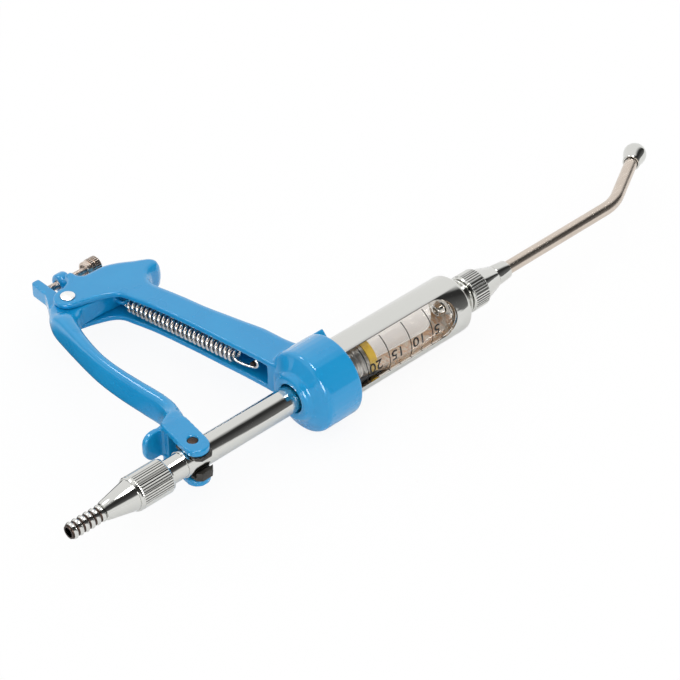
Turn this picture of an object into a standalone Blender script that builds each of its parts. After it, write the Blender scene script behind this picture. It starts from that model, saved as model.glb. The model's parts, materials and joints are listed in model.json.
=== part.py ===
"""Automatic drench gun: a pistol-grip syringe with a sprung trigger lever and a 20 ml glass barrel.

Drawing frame, in millimetres: the barrel axis is X, with x = 0 at the handle ring's front face and
+X towards the nozzle. +Y runs up the handle to the lever pivot, and +Z is parallel to the pivot pin.
The whole assembly hangs from one empty, which puts the origin at the centre of the base.
"""
import math

import bmesh
import bpy
from mathutils import Matrix, Vector

MM = 0.001
GAP = 0.3              # clearance between faceted neighbours
ROUND = 36             # sides of a large turned piece
ROUND_SMALL = 18       # sides of a pin, valve or tube
FLAT_ANGLE = math.radians(32)

# Glass barrel and piston
GLASS_BORE_RADIUS = 10.6
GLASS_WALL = 2.1
SCALE_ZERO_X = 67.6            # where the piston seal's front edge stands when the barrel is empty
SEAL_FRONT_X = 19.1            # the same edge at rest, set by the dose screw
STROKE = SCALE_ZERO_X - SEAL_FRONT_X
SEAL_LENGTH = 4.5
SEAL_WALL = 3.0
SEAL_LIP = 1.15                # wall of the seal's cup, which hides the cap
SEAL_CUP = 2.1                 # depth of the cup
SEAL_PLAY = 0.15
PISTON_CLEARANCE = 0.4
PISTON_LENGTH = 12.8
PISTON_CAP_LENGTH = 1.5
PISTON_SOCKET = 4.0
PISTON_WEB = 2.2
PISTON_BORE_RADIUS = 5.9
GROOVE_DEPTH = 1.0
GROOVE_WIDTH = 1.6
GROOVES = 3

# Handle ring and barrel sleeve
SLEEVE_WALL = 1.7
SLEEVE_FRONT_X = 79.7
SLEEVE_FRONT_WALL = 3.0
SLEEVE_SHOULDER = 3.4
RING_WALL = 5.7
RING_LENGTH = 21.3
RING_FLOOR = 7.0
RING_EDGE = 2.6
EDGE = 0.8                     # small rounding of turned corners
RING_BOSS_LENGTH = 5.6         # the ring's rear swells into a cone round the tube
RING_BOSS_RADIUS = 10.4
RING_BOSS_FLANK = 2.7          # length of the boss before the ring's rear face flares out
RING_BOSS_FLARE = 2.4
TUBE_PLAY = 0.7
GASKET = 1.2
WINDOW_TURN = math.radians(62.5)  # the windows face this far from +Z towards -Y, and opposite
WINDOW_HALF_ANGLE = math.radians(40.5)
WINDOW_REAR_X = 1.2
WINDOW_FRONT_X = 69.1
TAB_TURN = math.radians(-47)
TAB_LENGTH = 6.4
TAB_WIDTH = 4.4

# Push tube and hose connector
TUBE_RADIUS = 6.6
TUBE_BORE_RADIUS = 2.4
STUB_RADIUS = 5.95
STUB_FRONT_X = -93.0
CONNECTOR_FRONT_X = -102.2
CONNECTOR_KNURL_LENGTH = 19.7
CONNECTOR_RADIUS = 8.4
CONNECTOR_SOCKET_DEPTH = 13.0
WASHER = 1.2
CONE_LENGTH = 15.7
CONE_NECK_RADIUS = 4.4
BARB_RADIUS = 4.1
BARB_ROOT_RADIUS = 3.3
BARB_PITCH = 3.1
BARBS = 6

# Outlet: valve body, union nut, ferrule, bent nozzle and tip
NECK_LENGTH = 6.3
NECK_RADIUS = 9.4
NECK_GROOVE_RADIUS = 8.2
NECK_RING_LENGTH = 1.5
NECK_RINGS = 2
THREAD_LENGTH = 5.6
THREAD_RADIUS = 7.2
NUT_RADIUS = 9.7
NUT_KNURL_LENGTH = 10.6
NUT_NOSE_LENGTH = 10.9
NUT_NOSE_REAR_RADIUS = 8.7
NUT_NOSE_FRONT_RADIUS = 5.6
FERRULE_LENGTH = 8.7
FERRULE_RADIUS = 4.7
NOZZLE_RADIUS = 3.4
NOZZLE_BORE_RADIUS = 2.4
NOZZLE_COLLAR_LENGTH = 1.7
NOZZLE_VERTEX_X = 197.6
NOZZLE_BEND_RADIUS = 30.0
NOZZLE_BEND = math.radians(28)
NOZZLE_REACH = 38.5            # from the bend's vertex to the tip's base
TIP_LENGTH = 14.4
TIP_RADIUS = 6.1
TIP_BASE_RADIUS = 4.6
TIP_SOCKET_DEPTH = 7.0
TIP_HOLE_RADIUS = 1.5
TIP_FACE_RADIUS = 2.7
VALVE_NOSE_LENGTH = 3.2
VALVE_NOSE_RADIUS = 3.6
VALVE_NOSE_TIP_RADIUS = 2.7
VALVE_NECK_RADIUS = 5.9
VALVE_SEAT_RADIUS = 1.9
VALVE_FLANGE = 1.8
VALVE_DISC = 1.2
VALVE_DISC_RADIUS = 3.4
VALVE_STEM_RADIUS = 0.9
VALVE_CHAMBER_RADIUS = 4.2
VALVE_SEAT_DEPTH = 1.6         # from the body's flange to the outlet valve's seat
VALVE_STEM_LENGTH = 4.0
VALVE_SPRING_POINTS = 7

# Lever linkage
PIVOT_X = -59.0
PIVOT_Y = 122.0
FORK_X = -85.4                 # fork pins at rest, straight over the barrel axis
PIVOT_PIN_RADIUS = 2.9
RIVET_HEAD_RADIUS = 3.6
RIVET_HEAD_HEIGHT = 0.9
FLANGE_RADIUS = 7.0            # rounded end of the handle around the pivot
FORK_PIN_RADIUS = 2.3
FORK_PIN_SUNK = 0.5

# Handle casting
HANDLE_HALF = 8.5              # half thickness
CHANNEL_HALF = 5.7             # half height of the spring channel and the lever slot
PALM_ROUND = 4.0
LIP_ROUND = 0.9
THROUGH = 20.0                 # half length of a cutter that goes right through the handle or the lever

# Trigger lever
HUB_HALF = CHANNEL_HALF - GAP
HUB_RADIUS = 7.0
EAR_INNER = TUBE_RADIUS + GAP    # the ears straddle the tube
EAR_OUTER = 10.5
EAR_HALF = 6.0
EAR_OVERHANG = 3.0
EAR_REACH = 17.0                # from the fork pin up into the bridge
EAR_LEAN = math.radians(8.5)
HEEL_TOP_Y = 147.8
HEEL_HALF = 3.9                 # half width of the heel that meets the dose screw
HEEL_FRONT = 2.0                # from the pivot's line to the face that meets the screw
HEEL_BACK = 2.8
TONGUE_Y = 113.5                # underside of the spring arm
FLAP_Y = 17.4
FLAP_THICK = 3.0
FLAP_OUT_X = -98.4
FLAP_HALF = 7.6
FLAP_ROUND = 5.2
FLAP_ROOT_X = -82.0
ARM_SQUARENESS = 0.62           # 1 is an ellipse, 0 a rectangle
ARM_SIDES = 16

# Slide blocks between the ears and the tube
BLOCK_HALF = 5.0               # half length along the tube
BLOCK_OUT = 9.6               # reach away from the handle
BLOCK_IN = 8.0                 # reach towards the handle
BLOCK_FLOOR = 4.9              # height of the face that slides on the tube's flat
BLOCK_LIP = 2.1                # thickness of the lower block's end lip
BLOCK_LIP_FLOOR = 2.3
BLOCK_CHAMFER = 2.2

# Return spring
COIL_WIRE_RADIUS = 0.85
COIL_RADIUS = 3.4
COIL_TURNS = 23.9
COIL_POINTS = 8                # points in a turn
COIL_START = math.radians(-150)   # the wire leaves the coil over its open side
COIL_NEAR = (-33.9, 104.0)     # lever end of the coil
COIL_FAR = (-23.0, 40.4)       # ring end of the coil
EYE_RADIUS = 1.6
EYE_RIM = 1.3
EYE_Y = 110.0
EYE_HALF = 1.2
EYE_LOOP_RADIUS = 2.9
ANCHOR_Y = 30.8
ANCHOR_RADIUS = 1.2
ANCHOR_HEAD = 0.6              # how far the pin stands out past the hook's wire
ANCHOR_END_X = -5.8
VALVE_WIRE_RADIUS = 0.35
INLET_SPRING_LENGTH = 2.6
INLET_SPRING_RADIUS = 2.5
INLET_SPRING_TURNS = 2
OUTLET_SPRING_RADIUS = 2.9
OUTLET_SPRING_TURNS = 5
RETAINER_LENGTH = 1.0

# Dose screw
SCREW_Y = 141.6
SCREW_RADIUS = 1.9
SCREW_BOSS_REAR_X = -50.6
SCREW_BOSS_FRONT_X = -44.3
SCREW_BOSS_RADIUS = 5.3
SCREW_BOSS_ROUND = 1.4
KNOB_REAR_X = -34.0
KNOB_LENGTH = 8.5
KNOB_RADIUS = 4.7
KNOB_EDGE = 0.5
KNOB_COLLAR_LENGTH = 2.8
KNOB_COLLAR_RADIUS = 4.5
KNOB_SOCKET_DEPTH = 5.4

# Places that follow from the sizes above
GLASS_RADIUS = GLASS_BORE_RADIUS + GLASS_WALL
SLEEVE_BORE_RADIUS = GLASS_RADIUS + GAP
SLEEVE_RADIUS = SLEEVE_BORE_RADIUS + SLEEVE_WALL
RING_BORE_RADIUS = SLEEVE_RADIUS + GAP
RING_RADIUS = RING_BORE_RADIUS + RING_WALL
RING_FLOOR_X = RING_FLOOR - RING_LENGTH
REAR_BORE_RADIUS = TUBE_RADIUS + TUBE_PLAY
PISTON_RADIUS = GLASS_BORE_RADIUS - PISTON_CLEARANCE
SEAL_RADIUS = GLASS_BORE_RADIUS - SEAL_PLAY
SEAL_REAR_X = SEAL_FRONT_X - SEAL_LENGTH
SEAL_CUP_X = SEAL_FRONT_X - SEAL_CUP
PISTON_REAR_X = SEAL_REAR_X - GAP - PISTON_LENGTH
TUBE_FRONT_X = PISTON_REAR_X + PISTON_SOCKET - GAP
SEAT_X = PISTON_REAR_X + PISTON_SOCKET + PISTON_WEB
CONNECTOR_REAR_X = CONNECTOR_FRONT_X - CONNECTOR_KNURL_LENGTH
SOCKET_END_X = CONNECTOR_FRONT_X - CONNECTOR_SOCKET_DEPTH
TUBE_REAR_X = SOCKET_END_X + WASHER + 2 * GAP
CONE_END_X = CONNECTOR_REAR_X - CONE_LENGTH
BARB_END_X = CONE_END_X - BARBS * BARB_PITCH
SLEEVE_INNER_X = SLEEVE_FRONT_X - SLEEVE_FRONT_WALL
BODY_FLANGE_FRONT_X = SLEEVE_INNER_X - GAP
BODY_FLANGE_REAR_X = BODY_FLANGE_FRONT_X - VALVE_FLANGE
FRONT_GASKET_X = BODY_FLANGE_REAR_X - GAP - GASKET
GLASS_FRONT_X = FRONT_GASKET_X - GAP
GLASS_REAR_X = RING_FLOOR_X + 2 * GAP + GASKET
BODY_REAR_X = SCALE_ZERO_X + 2 * GAP
NECK_FRONT_X = SLEEVE_FRONT_X + NECK_LENGTH
THREAD_FRONT_X = NECK_FRONT_X + THREAD_LENGTH
NUT_REAR_X = NECK_FRONT_X + GAP
NUT_FRONT_X = NUT_REAR_X + NUT_KNURL_LENGTH
NUT_END_X = NUT_FRONT_X + NUT_NOSE_LENGTH
COLLAR_REAR_X = THREAD_FRONT_X + GAP
COLLAR_FRONT_X = COLLAR_REAR_X + NOZZLE_COLLAR_LENGTH
FERRULE_REAR_X = NUT_END_X + GAP
FERRULE_FRONT_X = FERRULE_REAR_X + FERRULE_LENGTH
OUTLET_SEAT_X = BODY_FLANGE_FRONT_X + VALVE_SEAT_DEPTH
LEVER_REACH = math.hypot(PIVOT_X - FORK_X, PIVOT_Y)
REST_ANGLE = math.asin((PIVOT_X - FORK_X) / LEVER_REACH)
LEVER_RANGE = REST_ANGLE + math.asin((FORK_X + STROKE - PIVOT_X) / LEVER_REACH)
BLOCK_TOP = EAR_INNER - GAP
FLAT_HEIGHT = BLOCK_FLOOR - GAP
SCREW_TIP_X = PIVOT_X + HEEL_FRONT + GAP
NOZZLE_DIRECTION = Vector((math.cos(NOZZLE_BEND), math.sin(NOZZLE_BEND), 0))
NOZZLE_VERTEX = Vector((NOZZLE_VERTEX_X, 0, 0))
TIP_BASE = NOZZLE_VERTEX + NOZZLE_DIRECTION * NOZZLE_REACH
COIL_SLOPE = (COIL_NEAR[0] - COIL_FAR[0]) / (COIL_NEAR[1] - COIL_FAR[1])
EYE_X = COIL_FAR[0] + COIL_SLOPE * (EYE_Y - COIL_FAR[1])
ANCHOR_X = COIL_FAR[0] + COIL_SLOPE * (ANCHOR_Y - COIL_FAR[1])
ANCHOR_HEAD_X = ANCHOR_X - COIL_WIRE_RADIUS - ANCHOR_HEAD
TONGUE_END_X = EYE_X + EYE_RADIUS + EYE_RIM - 0.4

# The handle's outline, from the lever pivot down the open side, across the ring and up the palm side.
# Where a point has four numbers, the last two are shares of PALM_ROUND: how far the edge is drawn in
# and how far it falls below the flat side.
LIP_SHARE = LIP_ROUND / PALM_ROUND
LIP_SIDE = [(-53.0, 113.5), (-46.2, 111.2), (-41.8, 109.0), (-38.8, 105.9), (-37.3, 100.9), (-34.1, 89.6),
            (-31.8, 77.6), (-28.9, 60.0), (-27.2, 48.0), (-25.2, 35.0), (-23.8, 24.0), (-23.3, 19.5),
            (-22.6, 15.2), (-19.0, 13.6), (-16.0, 14.4), (-13.6, 16.8)]
PALM_SIDE = [(-5.0, 16.8), (-2.6, 18.0), (-2.0, 21.5), (-3.8, 28.6), (-5.2, 39.6), (-8.3, 50.4),
             (-11.3, 61.4), (-14.3, 72.4), (-16.6, 84.2), (-19.2, 95.0), (-20.9, 102.0)]
HORN = [(-20.0, 107.4, 0.9, 1.1), (-16.2, 110.8, 0.85, 1.4), (-11.4, 111.6, 0.85, 1.7),
        (-8.0, 114.0, 0.85, 1.9), (-7.6, 117.6, 0.85, 1.9), (-10.2, 121.2, 0.85, 1.7),
        (-16.6, 124.6, 0.9, 1.3), (-23.4, 128.6, 0.9, 1.0)]
HEAD_SIDE = [(-31.0, 131.1, 0.8, 0.8), (-37.6, 130.7, 0.6, 0.6)]
HEAD_END = [(-42.3, 130.7, 0.5, 0.6), (-44.0, 132.6, 0.45, 0.9), (-45.0, 137.6, 0.45, 1.3),
            (-49.4, 137.6, 0.45, 1.3), (-50.4, 134.0, 0.4, 0.7), (-52.6, 131.2, 0.3, 0.4),
            (-56.0, 129.3, LIP_SHARE, LIP_SHARE)]
CHANNEL = [(-90.0, 142.0), (-52.0, 142.0), (-52.0, 130.0), (-50.4, 128.2), (-33.0, 128.2), (-28.6, 125.6),
           (-27.4, 120.0), (-27.2, 110.0), (-24.2, 102.0), (-22.2, 95.0), (-19.6, 84.2), (-17.3, 72.4),
           (-14.3, 61.4), (-11.3, 50.4), (-8.2, 39.6), (-8.0, 30.0), (-11.0, 24.6), (-16.0, 21.4),
           (-22.6, 19.9), (-45.0, 19.3), (-90.0, 60.0)]

# The lever arm's stations: outer and inner edge points and half width, from the hub to the fork
ARM = [((-67.4, 126.0), (-59.6, 121.0), 5.0), ((-71.4, 121.6), (-60.8, 116.0), 5.2),
       ((-73.8, 116.0), (-62.4, 111.6), 7.5),
       ((-74.4, 110.6), (-65.0, 107.4), 8.4), ((-76.7, 97.0), (-69.2, 95.6), 8.4),
       ((-79.2, 78.0), (-73.0, 77.2), 8.4), ((-79.6, 60.5), (-73.0, 60.2), 8.4),
       ((-78.6, 43.0), (-71.4, 42.2), 8.4), ((-78.0, 31.5), (-71.0, 29.6), 8.6),
       ((-81.5, 25.0), (-72.6, 22.4), 9.4), ((-85.5, 20.4), (-75.2, 16.6), 10.3)]

# The bridge that joins the two ears, and the heel's fillet into the arm, measured from the pivot
BRIDGE = [(-88.6, 13.6), (-78.0, 13.6), (-75.4, 19.0), (-76.6, 22.0), (-82.0, 23.0), (-87.6, 19.5)]
HEEL_ROOT = [(-3.3, 14.0), (-4.6, 11.0), (-6.4, 8.0), (-8.2, 5.0), (-8.2, 0.0)]

# The far hook's way from under the anchor pin to the coil: along the spring's axis, across and up
HOOK_WAY = [(-7.2, -0.9, -2.05), (-5.0, -1.9, -1.4), (-3.0, -2.7, -0.6), (-1.2, -3.3, 0.5)]


def material(name, colour, roughness, metallic, alpha=1.0):
    """Principled material with a plain colour."""
    made = bpy.data.materials.new(name)
    made.use_nodes = True
    shader = made.node_tree.nodes["Principled BSDF"]
    shader.inputs["Base Color"].default_value = (*colour, 1.0)
    shader.inputs["Roughness"].default_value = roughness
    shader.inputs["Metallic"].default_value = metallic
    shader.inputs["Alpha"].default_value = alpha
    made.diffuse_color = (*colour, alpha)
    return made


def clear_scene():
    for old in list(bpy.data.objects):
        bpy.data.objects.remove(old, do_unlink=True)


clear_scene()
PARTS = bpy.data.collections.new("drench_gun")
CUTTERS = bpy.data.collections.new("drench_gun_cutters")
bpy.context.scene.collection.children.link(PARTS)
bpy.context.scene.collection.children.link(CUTTERS)

ENAMEL = material("blue_enamel", (0.03, 0.28, 0.65), 0.22, 0.0)
CHROME = material("polished_chrome", (0.80, 0.80, 0.79), 0.12, 1.0)
STEEL = material("stainless_steel", (0.62, 0.58, 0.52), 0.30, 1.0)
NYLON = material("black_nylon", (0.02, 0.02, 0.02), 0.45, 0.0)
GLASS = material("clear_glass", (0.95, 0.97, 0.97), 0.03, 0.0, 0.35)
SEAL = material("yellow_rubber", (0.75, 0.48, 0.05), 0.50, 0.0)
RUBBER = material("black_rubber", (0.03, 0.03, 0.03), 0.60, 0.0)

TIP_PROFILE = [(0.0, TIP_BASE_RADIUS), (3.2, 5.0), (6.0, 5.7), (8.6, TIP_RADIUS), (10.8, 5.6),
               (12.8, 4.4), (TIP_LENGTH, TIP_FACE_RADIUS)]


def tip_extreme(axis):
    """Furthest drawing coordinate that the nozzle tip reaches along X (0) or Y (1)."""
    across = math.sqrt(1 - NOZZLE_DIRECTION[axis] ** 2)
    return max(TIP_BASE[axis] + along * NOZZLE_DIRECTION[axis] + radius * across
               for along, radius in TIP_PROFILE)


# The base's centre: half way between the barb's end and the tip, and between the ring and the heel
BASE_X = (BARB_END_X + tip_extreme(0)) / 2
BASE_Y = (HEEL_TOP_Y - RING_RADIUS) / 2
FRAME = bpy.data.objects.new("drawing_frame", None)
FRAME.location = (-BASE_X * MM, -BASE_Y * MM, RING_RADIUS * MM)
PARTS.objects.link(FRAME)

ALONG_X = Matrix.Rotation(math.pi / 2, 4, "Y")
ALONG_Z = Matrix.Identity(4)


def place(thing, collection, where=(0, 0, 0), turn=ALONG_Z):
    """Link an object and hang it from the drawing frame at a drawing position."""
    collection.objects.link(thing)
    thing.parent = FRAME
    thing.matrix_local = Matrix.Translation(Vector(where) * MM) @ turn
    return thing


def finish(thing, surface):
    """Give an object its material and smooth shading with sharp corners."""
    thing.data.materials.clear()
    thing.data.materials.append(surface)
    thing.data.shade_smooth()
    thing.data.set_sharp_from_angle(angle=FLAT_ANGLE)
    return thing


def turned(name, profile, surface, where=(0, 0, 0), turn=ALONG_X, sides=ROUND):
    """Turned piece: (along, radius) points of a half section, spun about its own axis.

    A section that starts and ends on the axis stays open there; any other is a closed loop.
    """
    solid = profile[0][1] == 0 and profile[-1][1] == 0
    area = sum(a[1] * b[0] - b[1] * a[0] for a, b in zip(profile, profile[1:] + profile[:1]))
    points = list(reversed(profile)) if area > 0 else list(profile)
    mesh = bpy.data.meshes.new(name)
    edges = [(i, i + 1) for i in range(len(points) - 1)]
    if not solid:
        edges.append((len(points) - 1, 0))
    mesh.from_pydata([(radius * MM, 0, along * MM) for along, radius in points], edges, [])
    made = bpy.data.objects.new(name, mesh)
    place(made, PARTS, where, turn)
    spin = made.modifiers.new("turned", "SCREW")
    spin.axis = "Z"
    spin.steps = sides
    spin.render_steps = sides
    spin.use_merge_vertices = True
    spin.merge_threshold = 0.00001
    spin.use_smooth_shade = True
    return finish(baked(made), surface)


def baked(made):
    """Replace an object's mesh by the result of its modifiers."""
    graph = bpy.context.evaluated_depsgraph_get()
    graph.update()
    mesh = bpy.data.meshes.new_from_object(made.evaluated_get(graph))
    old = made.data
    made.modifiers.clear()
    made.data = mesh
    bpy.data.meshes.remove(old)
    return made


def from_curve(curve, name, surface, where=(0, 0, 0), turn=ALONG_Z):
    """Mesh object made from a curve, with its caps welded."""
    guide = bpy.data.objects.new(name + "_guide", curve)
    place(guide, CUTTERS, where, turn)
    graph = bpy.context.evaluated_depsgraph_get()
    graph.update()
    mesh = bpy.data.meshes.new_from_object(guide.evaluated_get(graph))
    bpy.data.objects.remove(guide, do_unlink=True)
    work = bmesh.new()
    work.from_mesh(mesh)
    bmesh.ops.remove_doubles(work, verts=work.verts, dist=1e-6)
    bmesh.ops.recalc_face_normals(work, faces=work.faces)
    work.to_mesh(mesh)
    work.free()
    made = bpy.data.objects.new(name, mesh)
    place(made, PARTS, where, turn)
    return finish(made, surface)


def plate(name, outline, low, high, surface, where=(0, 0, 0), turn=ALONG_Z):
    """Flat piece: a closed outline in millimetres, filled between two heights."""
    curve = bpy.data.curves.new(name, "CURVE")
    curve.dimensions = "2D"
    curve.fill_mode = "BOTH"
    curve.extrude = (high - low) / 2 * MM
    spline = curve.splines.new("POLY")
    spline.points.add(len(outline) - 1)
    for point, spot in zip(spline.points, outline):
        point.co = (spot[0] * MM, spot[1] * MM, 0, 1)
    spline.use_cyclic_u = True
    lift = turn @ Vector((0, 0, (high + low) / 2))
    return from_curve(curve, name, surface, Vector(where) + lift, turn)


def tube(name, route, radius, surface, sides=2, ends=True):
    """Round bar along a route of drawing points."""
    curve = bpy.data.curves.new(name, "CURVE")
    curve.dimensions = "3D"
    curve.bevel_depth = radius * MM
    curve.bevel_resolution = sides
    curve.use_fill_caps = ends
    curve.render_resolution_u = 0
    spline = curve.splines.new("POLY")
    spline.points.add(len(route) - 1)
    for point, spot in zip(spline.points, route):
        point.co = (spot[0] * MM, spot[1] * MM, spot[2] * MM, 1)
    return from_curve(curve, name, surface)


def box(name, low, high, surface, where=(0, 0, 0), turn=ALONG_Z):
    """Box between two opposite corners."""
    mesh = bpy.data.meshes.new(name)
    work = bmesh.new()
    bmesh.ops.create_cube(work, size=1.0)
    size = [(b - a) * MM for a, b in zip(low, high)]
    centre = Vector([(a + b) / 2 * MM for a, b in zip(low, high)])
    bmesh.ops.scale(work, vec=size, verts=work.verts)
    bmesh.ops.translate(work, vec=centre, verts=work.verts)
    work.to_mesh(mesh)
    work.free()
    made = bpy.data.objects.new(name, mesh)
    place(made, PARTS, where, turn)
    return finish(made, surface)


def combine(target, tool, operation):
    """Boolean of a tool into a target; the tool moves to the cutters and is hidden."""
    for collection in list(tool.users_collection):
        collection.objects.unlink(tool)
    CUTTERS.objects.link(tool)
    tool.hide_render = True
    tool.display_type = "WIRE"
    step = target.modifiers.new(operation.lower() + "_" + tool.name, "BOOLEAN")
    step.operation = operation
    step.solver = "EXACT"
    step.object = tool


def join(target, *tools):
    for tool in tools:
        combine(target, tool, "UNION")


def cut(target, *tools):
    for tool in tools:
        combine(target, tool, "DIFFERENCE")


def arc(centre, radius, start, end, steps):
    """Points on an arc, with angles in degrees."""
    found = []
    for i in range(steps + 1):
        angle = math.radians(start + (end - start) * i / steps)
        found.append((centre[0] + radius * math.cos(angle), centre[1] + radius * math.sin(angle)))
    return found


def smooth(points, closed, steps):
    """Catmull-Rom curve through the points; every coordinate is blended alike."""
    count = len(points)
    found = []
    for i in range(count if closed else count - 1):
        def pick(k):
            return points[k % count] if closed else points[max(0, min(count - 1, k))]
        p0, p1, p2, p3 = pick(i - 1), pick(i), pick(i + 1), pick(i + 2)
        for j in range(steps):
            t = j / steps
            found.append(tuple(
                0.5 * (2 * b + (c - a) * t + (2 * a - 5 * b + 4 * c - d) * t ** 2
                       + (3 * b - a - 3 * c + d) * t ** 3)
                for a, b, c, d in zip(p0, p1, p2, p3)))
    if not closed:
        found.append(points[-1])
    return found


def pin(name, radius, low, high, surface, x, y, sides=ROUND_SMALL):
    """Plain round pin parallel to Z."""
    return turned(name, [(low, 0), (low, radius), (high, radius), (high, 0)], surface, (x, y, 0),
                  ALONG_Z, sides)


def bar(name, radius, low, high, surface, y, z=0.0, sides=ROUND_SMALL):
    """Plain round bar parallel to X."""
    return turned(name, [(low, 0), (low, radius), (high, radius), (high, 0)], surface, (0, y, z),
                  ALONG_X, sides)


def coil(start, end, radius, turns, points, phase=0.0):
    """Points of a helix from one drawing point to another."""
    axis = (end - start).normalized()
    side = axis.cross(Vector((0, 0, 1))).normalized()
    other = axis.cross(side)
    total = int(round(turns * points))
    found = []
    for i in range(total + 1):
        angle = phase + 2 * math.pi * turns * i / total
        centre = start.lerp(end, i / total)
        found.append(centre + side * radius * math.cos(angle) + other * radius * math.sin(angle))
    return found


def bezier(p0, p1, p2, p3, steps):
    """Points on a cubic curve, without its first point."""
    found = []
    for i in range(1, steps + 1):
        t = i / steps
        found.append(p0 * (1 - t) ** 3 + p1 * 3 * t * (1 - t) ** 2 + p2 * 3 * t ** 2 * (1 - t) + p3 * t ** 3)
    return found


def rounded_plate(name, outline, half, rounding, steps, surface):
    """Flat piece with rounded long edges: outline points hold x, y, a share of the rounding drawn in
    and a share of it taken off the height. The outline runs anticlockwise.
    """
    count = len(outline)
    inward = []
    for i in range(count):
        before, after = Vector(outline[i - 1][:2]), Vector(outline[(i + 1) % count][:2])
        along = (after - before).normalized()
        inward.append(Vector((-along.y, along.x)))
    levels = []
    for k in range(steps + 1):
        angle = math.pi / 2 * k / steps
        level = []
        for (x, y, share, fall), way in zip(outline, inward):
            spot = Vector((x, y)) + way * rounding * share * (1 - math.cos(angle))
            level.append((spot.x, spot.y, half - rounding * fall * (1 - math.sin(angle))))
        levels.append(level)
    lower = [[(x, y, -z) for x, y, z in level] for level in reversed(levels)]
    return loft(name, lower + levels, surface)


def loft(name, rings, surface):
    """Closed solid through rings of points of equal number."""
    mesh = bpy.data.meshes.new(name)
    work = bmesh.new()
    layers = [[work.verts.new(Vector(p) * MM) for p in ring] for ring in rings]
    count = len(layers[0])
    for low, high in zip(layers, layers[1:]):
        for i in range(count):
            j = (i + 1) % count
            work.faces.new((low[i], low[j], high[j], high[i]))
    work.faces.new(list(reversed(layers[0])))
    work.faces.new(layers[-1])
    bmesh.ops.recalc_face_normals(work, faces=work.faces)
    work.to_mesh(mesh)
    work.free()
    made = bpy.data.objects.new(name, mesh)
    place(made, PARTS)
    return finish(made, surface)


def oval(outer, inner, half, squareness, points):
    """Ring across the lever arm: a rounded bar from its outer to its inner edge, with a crowned back."""
    outer, inner = Vector(outer), Vector(inner)
    middle, reach = (outer + inner) / 2, (outer - inner) / 2
    ring = []
    for i in range(points):
        angle = 2 * math.pi * i / points
        across, up = math.cos(angle), math.sin(angle)
        across = math.copysign(abs(across) ** squareness, across)
        up = math.copysign(abs(up) ** squareness, up)
        spot = middle + reach * across
        ring.append((spot.x, spot.y, half * up))
    return ring


def make_casting():
    """Handle: a channel with the spring inside, a hand stop, the pivot flanges and the barrel ring."""
    lips = [(x, y, LIP_SHARE, LIP_SHARE) for x, y in LIP_SIDE + PALM_SIDE[:2]]
    palm = [(x, y, 1.0, 1.0) for x, y in PALM_SIDE[2:]]
    flange = [(x, y, LIP_SHARE, LIP_SHARE)
              for x, y in arc((PIVOT_X, PIVOT_Y), FLANGE_RADIUS, 100, 262, 10)]
    outline = flange + smooth(lips + palm + HORN + HEAD_SIDE, False, 2) + HEAD_END
    casting = rounded_plate("handle_casting", outline, HANDLE_HALF, PALM_ROUND, 3, ENAMEL)
    rear, front, edge = SCREW_BOSS_REAR_X, SCREW_BOSS_FRONT_X, SCREW_BOSS_ROUND
    centre = SCREW_BOSS_RADIUS - edge
    boss = turned("screw_boss", [(rear, 0)] + arc((rear + edge, centre), edge, 180, 90, 3)
                  + arc((front - edge, centre), edge, 90, 0, 3) + [(front, 0)],
                  ENAMEL, (0, SCREW_Y, 0), sides=24)
    join(casting, boss)
    cut(casting,
        plate("channel", CHANNEL, -CHANNEL_HALF, CHANNEL_HALF, ENAMEL),
        bar("screw_hole", SCREW_RADIUS + GAP, rear - 1, front + 1, ENAMEL, SCREW_Y),
        bar("anchor_hole", ANCHOR_RADIUS + GAP, ANCHOR_X, ANCHOR_END_X + GAP, ENAMEL, ANCHOR_Y, sides=16),
        pin("pivot_hole", PIVOT_PIN_RADIUS + GAP, -THROUGH, THROUGH, ENAMEL, PIVOT_X, PIVOT_Y))
    back = -RING_LENGTH - RING_BOSS_LENGTH
    shoulder = [(RING_EDGE - RING_LENGTH - RING_EDGE * math.sin(math.radians(a)),
                 RING_RADIUS - RING_EDGE + RING_EDGE * math.cos(math.radians(a))) for a in (75, 50, 25, 0)]
    ring = turned("ring", [(back, REAR_BORE_RADIUS), (back, RING_BOSS_RADIUS),
                           (back + EDGE, RING_BOSS_RADIUS + RING_BOSS_FLARE / 2),
                           (back + RING_BOSS_FLANK, RING_BOSS_RADIUS + RING_BOSS_FLARE)]
                  + shoulder
                  + [(a - EDGE, RING_RADIUS - EDGE + b) for a, b in arc((0, 0), EDGE, 90, 0, 2)]
                  + [(0, RING_BORE_RADIUS), (RING_FLOOR_X, RING_BORE_RADIUS), (RING_FLOOR_X, REAR_BORE_RADIUS)],
                  ENAMEL, sides=40)
    tab = box("ring_tab", (-RING_WALL, -TAB_WIDTH / 2, RING_BORE_RADIUS + GAP),
              (TAB_LENGTH, TAB_WIDTH / 2, RING_RADIUS - GAP), ENAMEL, turn=Matrix.Rotation(TAB_TURN, 4, "X"))
    join(casting, ring, tab)
    return casting


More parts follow.
